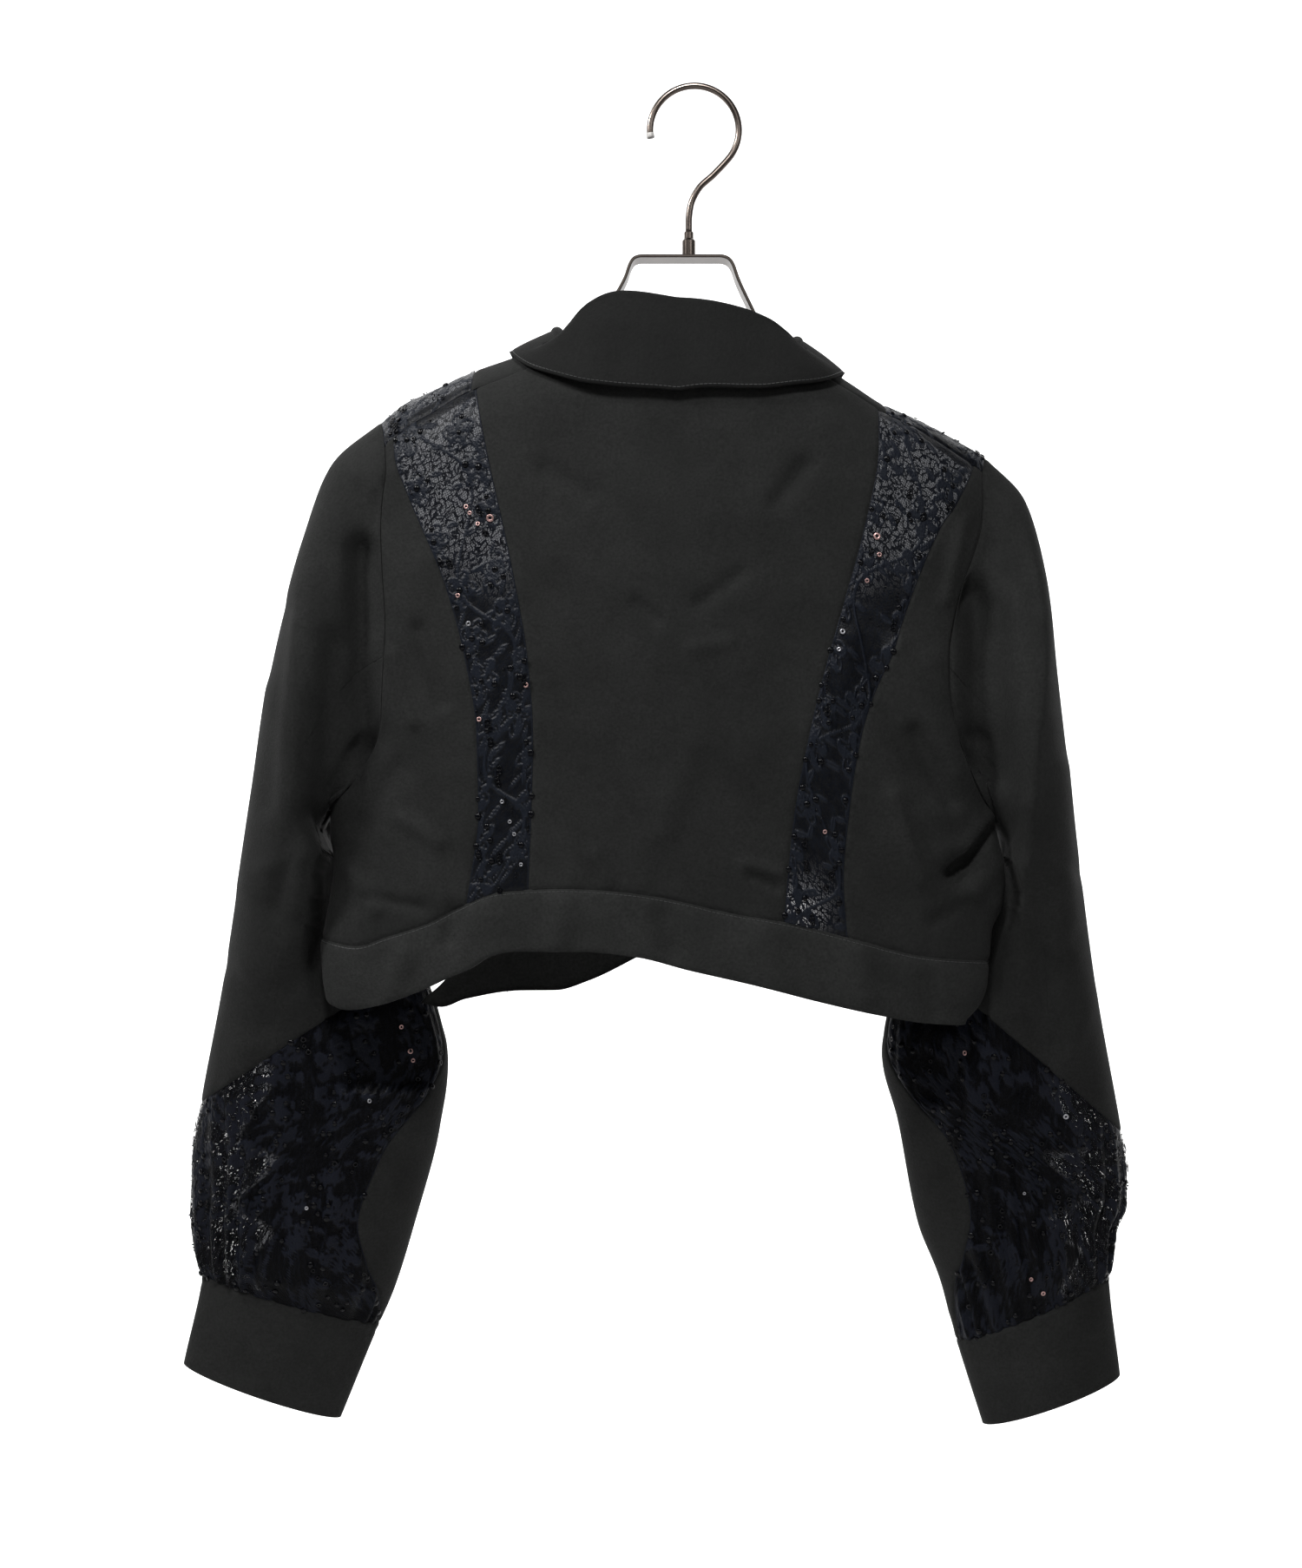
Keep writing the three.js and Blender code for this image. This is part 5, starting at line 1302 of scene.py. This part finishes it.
make_collar()
print("collar:", len(PANELS["collar_cloth"]["piece"].data.polygons), "faces")

# %% [markdown]
# The hanger is a round wire hook, a ferrule, and one flat band bent over both shoulders. Most
# of the band is inside the jacket, and only its middle shows between the collar's two ends.

# %% Hanger
HOOK_RADIUS, HOOK_WIRE = 27.6, 4.2
HOOK_STEM = [(12, -53), (2.5, -62), (-2.5, -73), (-3.5, -82), (-3.5, -88.5)]
HOOK_TIP = 3.6
FERRULE = [(3.7, -104.3), (4.1, -103.8), (4.1, -94.5), (3.8, -94), (2.9, -93), (2.9, -89.2), (2.6, -88.8)]
FERRULE_X, FERRULE_SIDES = -3.5, 40
HANGER_BAND_WIDTH, HANGER_BAND_WALL = 18, 2
HANGER_BELOW_RIDGE = 5.5
HANGER_MIDDLE = [
    (-81, -166), (-67, -154), (-51, -133), (-43, -119), (-39.5, -109.5), (-37, -106.6), (-33, -105.6),
    (16, -105.6), (20, -106.6), (23, -109.5), (27, -120), (34, -135), (43, -153), (51, -166),
    (61, -173)]
HANGER_ARMS = ([-172, -158, -142, -124, -106, -92], [74, 92, 114, 132, 146, 158])
ROUND = 24


def chord_smooth(points, count):
    points = np.array(points, float)
    run = walked(points, 0)
    where = np.linspace(0, run[-1], count)
    columns = [curve({"t": run, "v": points[:, k]}, "t", "v") for k in range(points.shape[1])]
    return np.stack([column(where) for column in columns], -1)


def ring_body(name, rings, material, replaced=None, smooth=True):
    index = np.arange(rings[..., 0].size).reshape(rings.shape[:2])
    around = np.roll(index, -1, axis=1)
    faces = np.stack([index[:-1], around[:-1], around[1:], index[1:]], -1).reshape(-1, 4).tolist()
    faces += [index[0, ::-1].tolist(), index[-1].tolist()]
    settle(make_mesh(name, rings.reshape(-1, 3), faces, None, material, smooth), replaced)


def tube(name, line, radius, material, replaced=None):
    line = np.asarray(line)
    ahead = np.gradient(line, axis=0)
    ahead /= np.linalg.norm(ahead, axis=1, keepdims=True)
    side = np.array([0.0, 1.0, 0.0])
    other = np.cross(ahead, side)
    turn = np.linspace(0, 2 * math.pi, ROUND, endpoint=False)
    rings = line[:, None] + np.broadcast_to(radius, len(line))[:, None, None] * (
        np.cos(turn)[None, :, None] * side + np.sin(turn)[None, :, None] * other[:, None])
    ring_body(name, rings, material, replaced)


def hook_line():
    centre_z = -HOOK_RADIUS + HOOK_WIRE / 2
    bend = [(HOOK_RADIUS * math.cos(t), centre_z + HOOK_RADIUS * math.sin(t))
            for t in np.radians(np.linspace(190, -38, 60))]
    line = chord_smooth(bend + HOOK_STEM, 170)
    return np.stack([line[:, 0], 0 * line[:, 0], line[:, 1]], -1)


def make_ferrule():
    radius, z = np.array(FERRULE, float).T
    turn = np.linspace(0, 2 * math.pi, FERRULE_SIDES, endpoint=False)
    rings = np.stack([FERRULE_X + radius[:, None] * np.cos(turn), radius[:, None] * np.sin(turn),
                      z[:, None] + 0 * turn], -1)
    ring_body("hanger_ferrule_metal", rings, NICKEL, "hanger_ferrule", smooth=False)


def make_band():
    arms = [[(x, float(ridge_z(x)) - HANGER_BELOW_RIDGE) for x in arm] for arm in HANGER_ARMS]
    line = chord_smooth(arms[0] + HANGER_MIDDLE + arms[1], 320)
    ahead = np.gradient(line, axis=0)
    ahead /= np.linalg.norm(ahead, axis=1, keepdims=True)
    above = np.stack([-ahead[:, 1], ahead[:, 0]], -1)
    half_wide, half_thick, round_off = HANGER_BAND_WIDTH / 2, HANGER_BAND_WALL / 2, 0.5
    section = [(-half_wide, -half_thick + round_off), (-half_wide, half_thick - round_off),
               (-half_wide + round_off, half_thick), (half_wide - round_off, half_thick),
               (half_wide, half_thick - round_off), (half_wide, -half_thick + round_off),
               (half_wide - round_off, -half_thick), (-half_wide + round_off, -half_thick)]
    rings = np.array([[(p[0] + n[0] * h, y, p[1] + n[1] * h) for y, h in section]
                      for p, n in zip(line, above)])
    ring_body("hanger_band_metal", rings, DULL_NICKEL, "hanger_frame", smooth=False)


hook = hook_line()
tube("hanger_hook_metal", hook, HOOK_WIRE / 2, NICKEL, "hanger_hook")
tip = hook[:int(np.searchsorted(walked(hook, 0), HOOK_TIP))]
tube("hook_tip_cap", tip, HOOK_WIRE / 2 + 0.35, HOLDER_TIP)
make_ferrule()
make_band()
print("hook wire:", HOOK_WIRE, "mm, band:", HANGER_BAND_WIDTH, "mm wide")

# %% [markdown]
# Three buttons close the front. Each is turned from dark horn, with a rim round a flat dish.

# %% Buttons
BUTTON_INSET, BUTTON_SEAT = 16, 0.85
BUTTON_HEIGHTS = [-262, -352, -440]
BUTTON_PROFILE = [(5.9, 0), (6.5, 0.7), (6.5, 1.9), (6.2, 2.45), (5.6, 2.6), (4.9, 2.4), (4.2, 1.7)]
BUTTON_SIDES = 36


def button_frame(z):
    x = float(lap_edge(z)) + BUTTON_INSET
    cell = on_body(x, girth_of(float(ridge_z(x)) - z))
    a, b = np.array([cell[0]]), np.array([cell[1]])
    normal = body_outward(a, b)[0]
    foot = body_point(a, b)[0] + normal * (LAP_LIFT + BUTTON_SEAT)
    right = np.cross([0, 0, 1], normal)
    right /= np.linalg.norm(right)
    return foot, right, np.cross(normal, right), normal


def make_button(number, z):
    foot, right, up, normal = button_frame(z)
    radius, height = np.array(BUTTON_PROFILE, float).T
    turn = np.linspace(0, 2 * math.pi, BUTTON_SIDES, endpoint=False)
    ring = np.cos(turn)[:, None] * right + np.sin(turn)[:, None] * up
    rings = foot + radius[:, None, None] * ring + height[:, None, None] * normal
    ring_body(f"button_{number}_horn", rings, HORN, f"button_{number}")


for number, z in enumerate(BUTTON_HEIGHTS, 1):
    make_button(number, z)
print("buttons at heights", BUTTON_HEIGHTS)

# %% [markdown]
# Small things that repeat are grown with Geometry Nodes. Each tree is built here, has named
# inputs, and ends in Realize Instances and Set Material. We evaluate it once and keep the
# plain mesh, so the finished piece has no modifier.

# %% Growing repeats
def node_tree(name, numbers):
    tree = bpy.data.node_groups.new(name, "GeometryNodeTree")
    tree.interface.new_socket("Geometry", in_out="INPUT", socket_type="NodeSocketGeometry")
    for label, kind, value in numbers:
        socket = tree.interface.new_socket(label, in_out="INPUT", socket_type="NodeSocket" + kind)
        socket.default_value = value
    tree.interface.new_socket("Material", in_out="INPUT", socket_type="NodeSocketMaterial")
    tree.interface.new_socket("Geometry", in_out="OUTPUT", socket_type="NodeSocketGeometry")
    return tree, tree.nodes.new("NodeGroupInput"), tree.nodes.new("NodeGroupOutput")


def chain(tree, first, *steps):
    """Adds the nodes one after another on the geometry, and returns the last one's output."""
    flow = first
    for kind, settings, wires in steps:
        made = tree.nodes.new("GeometryNode" + kind)
        for key, value in settings.items():
            setattr(made, key, value)
        sockets = [socket for socket in made.inputs if socket.type == "GEOMETRY"]
        tree.links.new(flow, sockets[0])
        for key, wire in wires.items():
            if isinstance(wire, (int, float, bool)):
                made.inputs[key].default_value = wire
            else:
                tree.links.new(wire, made.inputs[key])
        flow = made.outputs[0]
    return flow


def align(tree, vector, axis):
    made = tree.nodes.new("FunctionNodeAlignRotationToVector")
    made.axis = axis
    tree.links.new(vector, made.inputs["Vector"])
    return made.outputs["Rotation"]


def read_vector(tree, name):
    made = tree.nodes.new("GeometryNodeInputNamedAttribute")
    made.data_type = "FLOAT_VECTOR"
    made.inputs["Name"].default_value = name
    return made.outputs["Attribute"]


def grow(source, tree, values, material, name):
    modifier = source.modifiers.new("grow", "NODES")
    modifier.node_group = tree
    for item in tree.interface.items_tree:
        if item.in_out == "INPUT" and item.name in values:
            modifier[item.identifier] = values[item.name]
        if item.in_out == "INPUT" and item.name == "Material":
            modifier[item.identifier] = material
    depsgraph = bpy.context.evaluated_depsgraph_get()
    mesh = bpy.data.meshes.new_from_object(source.evaluated_get(depsgraph))
    made = bpy.data.objects.new(name, mesh)
    bpy.context.scene.collection.objects.link(made)
    bpy.data.objects.remove(source)
    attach(made, "root")
    return made


# %% [markdown]
# Stitches run along the top of every hem band, down the front band and round the collar.
# Each is a short rod of thread laid along its line, with a small gap to the next.

# %% Stitches
STITCH_PITCH, STITCH_LENGTH, THREAD_RADIUS = 2.7, 2.0, 0.2


def stitch_tree():
    tree, given, result = node_tree("stitches", [
        ("Pitch", "Float", 0.0027), ("Length", "Float", 0.002), ("Radius", "Float", 0.0002)])
    rod = tree.nodes.new("GeometryNodeMeshCylinder")
    rod.inputs["Vertices"].default_value = 6
    tree.links.new(given.outputs["Radius"], rod.inputs["Radius"])
    tree.links.new(given.outputs["Length"], rod.inputs["Depth"])
    tangent = tree.nodes.new("GeometryNodeInputTangent")
    flow = chain(
        tree, given.outputs["Geometry"],
        ("MeshToCurve", {}, {}),
        ("ResampleCurve", {"mode": "LENGTH"}, {"Length": given.outputs["Pitch"]}),
        ("InstanceOnPoints", {}, {"Instance": rod.outputs["Mesh"],
                                  "Rotation": align(tree, tangent.outputs[0], "Z")}),
        ("RealizeInstances", {}, {}),
        ("SetMaterial", {}, {"Material": given.outputs["Material"]}))
    tree.links.new(flow, result.inputs[0])
    return tree


def line_on(name, side, inset, lift=0.1):
    panel = PANELS[name + "_cloth"]
    points = panel["outer"] + panel["normal"] * lift
    if side in ("left", "right"):
        points = points.transpose(1, 0, 2)
    if side in ("bottom", "right"):
        points = points[::-1]
    run = walked(points, 0)
    return np.array([[np.interp(inset, run[:, k], points[:, k, axis]) for axis in range(3)]
                     for k in range(points.shape[1])])


def polylines(name, lines):
    vertices = np.concatenate(lines)
    edges, start = [], 0
    for line in lines:
        edges += [(start + k, start + k + 1) for k in range(len(line) - 1)]
        start += len(line)
    mesh = bpy.data.meshes.new(name)
    mesh.from_pydata((vertices * MM).tolist(), edges, [])
    made = bpy.data.objects.new(name, mesh)
    bpy.context.scene.collection.objects.link(made)
    return made


STITCH_LINES = [("hem_band_back", "top"), ("hem_band_front_left", "top"), ("hem_band_front_right", "top"),
                ("front_band", "left"), ("front_band", "right"), ("collar", "bottom")]
lines = [line_on(name, side, STITCH_INSET) for name, side in STITCH_LINES]
stitches = grow(polylines("stitch_lines", lines), stitch_tree(),
                {"Pitch": STITCH_PITCH * MM, "Length": STITCH_LENGTH * MM, "Radius": THREAD_RADIUS * MM},
                THREAD, "topstitching")
print("stitches:", len(stitches.data.polygons) // 8)

# %% [markdown]
# Sequins are cups and rings about 3 to 4 mm across, with tiny beads beside them. Most are
# black and sit on the flowers. The rose and silver ones are few, at the places seen in the
# picture, so those are given one by one, by distance across and height.

# %% Sequin places
ROSE_PLACES = table("x z size", [
    (-123.6, -272.3, 1.25), (-137.7, -265.5, 0.8), (-136, -269, 0.7), (-130.4, -276.4, 0.75),
    (-142.9, -318.7, 0.75), (-102.2, -373, 0.9), (-130.4, -393.4, 0.8), (108.7, -282.7, 1.15),
    (109.8, -294.2, 0.8), (102.5, -309.9, 0.75), (77.4, -460.7, 0.75), (-186.2, -585.7, 0.8),
    (-181, -601, 0.9), (-179.1, -608.2, 0.75), (170.6, -600, 0.9), (214, -747.1, 0.7),
    (221.7, -754.8, 0.8)])
SILVER_PLACES = table("x z size", [
    (-136.1, -336, 0.9), (-116.8, -442.4, 0.75), (-111.6, -454.4, 0.7), (-109.5, -461.8, 0.7),
    (-104.8, -480, 0.7), (87.8, -340.1, 1), (85.8, -351.1, 0.75), (-205.4, -632.4, 0.8),
    (232.7, -641.2, 1.0), (-245, -700, 0.7), (208, -690, 0.6)])
BACK_LACE = ["back_lace_left", "back_lace_right", "sleeve_lace_left", "sleeve_lace_right"]
ALL_LACE = BACK_LACE + ["front_lace_left", "front_lace_right"]


def seat(panel, row, column, lift):
    return panel["outer"][row, column] + panel["normal"][row, column] * lift


def nearest_seats(places, lift):
    spots = []
    for x, z, size in zip(*places.values()):
        best = None
        for name in BACK_LACE:
            panel = PANELS[name + "_cloth"]
            outer = panel["outer"]
            away = np.hypot(outer[..., 0] - x, outer[..., 2] - z) + np.maximum(outer[..., 1] - 45, 0)
            row, column = np.unravel_index(np.argmin(away), away.shape)
            if best is None or away[row, column] < best[0]:
                best = (away[row, column], panel, row, column)
        _, panel, row, column = best
        spots.append((seat(panel, row, column, lift), panel["normal"][row, column], size))
    return spots


def on_flowers(draw, lift, chance, spread):
    spots = []
    for name in ALL_LACE:
        panel = PANELS[name + "_cloth"]
        wide = panel["wide"] - panel["wide"][:, -1:] / 2
        columns = panel["outer"].shape[1]
        for x, z, size, turn in panel["flowers"]:
            for k in range(6):
                aim, reach = turn + k * 2.5133 * 0.5, size * spread * (k > 0)
                if k and draw.random() > chance:
                    continue
                target = (x + reach * math.cos(aim), z + reach * math.sin(aim))
                away = np.hypot(wide[:, :columns] - target[0], panel["long"][:, :columns] - target[1])
                row, column = np.unravel_index(np.argmin(away), away.shape)
                if away[row, column] < 3:
                    spots.append((seat(panel, row, column, lift), panel["normal"][row, column],
                                  draw.uniform(0.75, 1.1)))
    return spots


def strewn(draw, lift, apart):
    spots = []
    for name in ALL_LACE:
        panel = PANELS[name + "_cloth"]
        rows, columns = panel["outer"].shape[:2]
        area = float(panel["wide"][:, -1].mean() * panel["long"][-1].mean())
        for _ in range(int(area / apart ** 2)):
            row, column = draw.integers(3, rows - 3), draw.integers(3, columns - 3)
            for k in range(draw.integers(1, 4)):
                place = seat(panel, min(row + 2 * k, rows - 1), min(column + k // 2, columns - 1), lift)
                spots.append((place, panel["normal"][row, column], draw.uniform(0.7, 1.15)))
    return spots


def spot_cloud(name, spots):
    mesh = bpy.data.meshes.new(name)
    mesh.from_pydata([tuple(place * MM) for place, _, _ in spots], [], [])
    facing = mesh.attributes.new("facing", "FLOAT_VECTOR", "POINT")
    facing.data.foreach_set("vector", np.array([normal for _, normal, _ in spots], np.float32).ravel())
    size = mesh.attributes.new("size", "FLOAT", "POINT")
    size.data.foreach_set("value", np.array([value for _, _, value in spots], np.float32))
    made = bpy.data.objects.new(name, mesh)
    bpy.context.scene.collection.objects.link(made)
    return made


# %% Sequins and beads
def scatter_tree(name, shape_of):
    tree, given, result = node_tree(name, [
        ("Radius", "Float", 0.0018), ("Tilt", "Float", 0.2), ("Seed", "Int", 1)])
    shape = shape_of(tree, given.outputs["Radius"])
    size = tree.nodes.new("GeometryNodeInputNamedAttribute")
    size.inputs["Name"].default_value = "size"
    jitter = tree.nodes.new("FunctionNodeRandomValue")
    jitter.data_type = "FLOAT_VECTOR"
    jitter.inputs[0].default_value = (-1, -1, -1)
    tree.links.new(given.outputs["Seed"], jitter.inputs["Seed"])
    lean = tree.nodes.new("ShaderNodeVectorMath")
    lean.operation = "MULTIPLY_ADD"
    tree.links.new(jitter.outputs[0], lean.inputs[0])
    tree.links.new(given.outputs["Tilt"], lean.inputs[1])
    tree.links.new(read_vector(tree, "facing"), lean.inputs[2])
    flow = chain(
        tree, given.outputs["Geometry"],
        ("MeshToPoints", {}, {}),
        ("InstanceOnPoints", {}, {"Instance": shape, "Rotation": align(tree, lean.outputs[0], "Z"),
                                  "Scale": size.outputs["Attribute"]}),
        ("RealizeInstances", {}, {}),
        ("SetShadeSmooth", {}, {}),
        ("SetMaterial", {}, {"Material": given.outputs["Material"]}))
    tree.links.new(flow, result.inputs[0])
    return tree


def scaled(tree, geometry, x, y, z):
    made = tree.nodes.new("GeometryNodeTransform")
    made.inputs["Scale"].default_value = (x, y, z)
    tree.links.new(geometry, made.inputs["Geometry"])
    return made.outputs[0]


def ring_shape(tree, radius):
    path, section = (tree.nodes.new("GeometryNodeCurvePrimitiveCircle") for _ in range(2))
    path.inputs["Resolution"].default_value, section.inputs["Resolution"].default_value = 14, 6
    tree.links.new(radius, path.inputs["Radius"])
    tree.links.new(combine(tree, "MULTIPLY", radius, 0.42), section.inputs["Radius"])
    swept = tree.nodes.new("GeometryNodeCurveToMesh")
    tree.links.new(path.outputs[0], swept.inputs["Curve"])
    tree.links.new(section.outputs[0], swept.inputs["Profile Curve"])
    return scaled(tree, swept.outputs[0], 1, 1, 0.4)


def cup_shape(tree, radius):
    ball = tree.nodes.new("GeometryNodeMeshUVSphere")
    ball.inputs["Segments"].default_value, ball.inputs["Rings"].default_value = 12, 6
    tree.links.new(radius, ball.inputs["Radius"])
    return scaled(tree, ball.outputs[0], 1, 1, 0.42)


def bead_shape(tree, radius):
    ball = tree.nodes.new("GeometryNodeMeshIcoSphere")
    ball.inputs["Subdivisions"].default_value = 2
    tree.links.new(radius, ball.inputs["Radius"])
    return ball.outputs[0]


draw = np.random.default_rng(7)
ring_tree, cup_tree, bead_tree = (scatter_tree(*pair) for pair in (
    ("ring_sequins", ring_shape), ("cup_sequins", cup_shape), ("beads", bead_shape)))
for name, tree, radius, seed, material, spots in (
        ("rose_sequins", ring_tree, 1.35, 3, ROSE, nearest_seats(ROSE_PLACES, 0.8)),
        ("silver_sequins", ring_tree, 1.25, 4, SILVER, nearest_seats(SILVER_PLACES, 0.8)),
        ("black_cups", cup_tree, 1.9, 5, JET, on_flowers(draw, 0.5, 0.3, 0.85)),
        ("black_rings", ring_tree, 1.25, 6, JET, strewn(draw, 0.6, 30)),
        ("black_beads", bead_tree, 0.55, 7, JET, strewn(draw, 0.5, 21))):
    made = grow(spot_cloud(name + "_places", spots), tree, {"Radius": radius * MM, "Seed": seed},
                material, name)
    print(name, len(spots), "on", len(made.data.polygons), "faces")

# %% [markdown]
# The jacket is seen from behind, level, from as far away as the photo was taken. The floor
# and backdrop are one pale sweep. Soft lights show the cloth's folds: the key is high on the
# left, a weaker one fills in from the right, and one from above brings out the shoulders.

# %% Stage, camera and lights
FLOOR = -1050
SWEEP_BACK, SWEEP_ROUND = 500, 500
CAMERA = (-27, -1350, -432)
FRAME_HEIGHT = 975
LIGHT_TARGET = (0, 0, -0.43)
LIGHTS = table("x y z size power", [
    (-1150, -600, 650, 300, 29), (1100, -1500, 300, 500, 5), (-100, -1150, 800, 260, 30)])


def paper_material():
    material, tree, shader = new_material("pale_paper")
    shader.inputs["Base Color"].default_value = (0.65, 0.65, 0.65, 1)
    shader.inputs["Roughness"].default_value = 0.95
    shader.inputs["Emission Color"].default_value = (1, 1, 1, 1)
    place = node(tree, "ShaderNodeTexCoord")
    split = node(tree, "ShaderNodeSeparateXYZ")
    tree.links.new(place.outputs["Object"], split.inputs[0])
    glow = node(tree, "ShaderNodeMapRange")
    glow.inputs["From Min"].default_value, glow.inputs["From Max"].default_value = -0.1, 0.4
    glow.inputs["To Max"].default_value = 0.9
    tree.links.new(split.outputs["Y"], glow.inputs["Value"])
    tree.links.new(glow.outputs["Result"], shader.inputs["Emission Strength"])
    return material


def make_sweep():
    turns = np.linspace(0, math.pi / 2, 24)
    profile = [(-2600, FLOOR)] + [
        (SWEEP_BACK + SWEEP_ROUND * math.sin(t), FLOOR + SWEEP_ROUND * (1 - math.cos(t))) for t in turns]
    profile.append((SWEEP_BACK + SWEEP_ROUND, 3200))
    points = [(x, y, z) for x in (-4000, 4000) for y, z in profile]
    count = len(profile)
    faces = [(i, i + count, i + count + 1, i + 1) for i in range(count - 1)]
    make_mesh("sweep", points, faces, None, paper_material())


def turn_to(thing, target):
    thing.rotation_euler = (Vector(target) - thing.location).to_track_quat("-Z", "Y").to_euler()


def add_camera():
    data = bpy.data.cameras.new("camera")
    data.sensor_fit, data.sensor_height = "VERTICAL", 24
    data.lens = 24 * -CAMERA[1] / FRAME_HEIGHT
    camera = bpy.data.objects.new("camera", data)
    camera.location = np.array(CAMERA) * MM
    camera.rotation_euler = (math.pi / 2, 0, 0)
    bpy.context.scene.collection.objects.link(camera)
    bpy.context.scene.camera = camera


def add_lights():
    for number, (x, y, z, size, power) in enumerate(zip(*LIGHTS.values())):
        data = bpy.data.lights.new(f"softbox_{number}", "AREA")
        data.size, data.energy = size * MM, power
        light = bpy.data.objects.new(data.name, data)
        light.location = (x * MM, y * MM, z * MM)
        bpy.context.scene.collection.objects.link(light)
        turn_to(light, LIGHT_TARGET)


make_sweep()
add_camera()
add_lights()
world = bpy.data.worlds.new("studio")
world.use_nodes = True
world.node_tree.nodes["Background"].inputs["Color"].default_value = (1, 1, 1, 1)
world.node_tree.nodes["Background"].inputs["Strength"].default_value = 0.08
bpy.context.scene.world = world
bpy.context.scene.view_settings.view_transform = "Standard"
bpy.context.scene.render.resolution_x, bpy.context.scene.render.resolution_y = 1500, 1806
print("camera lens:", round(bpy.data.cameras["camera"].lens, 2))
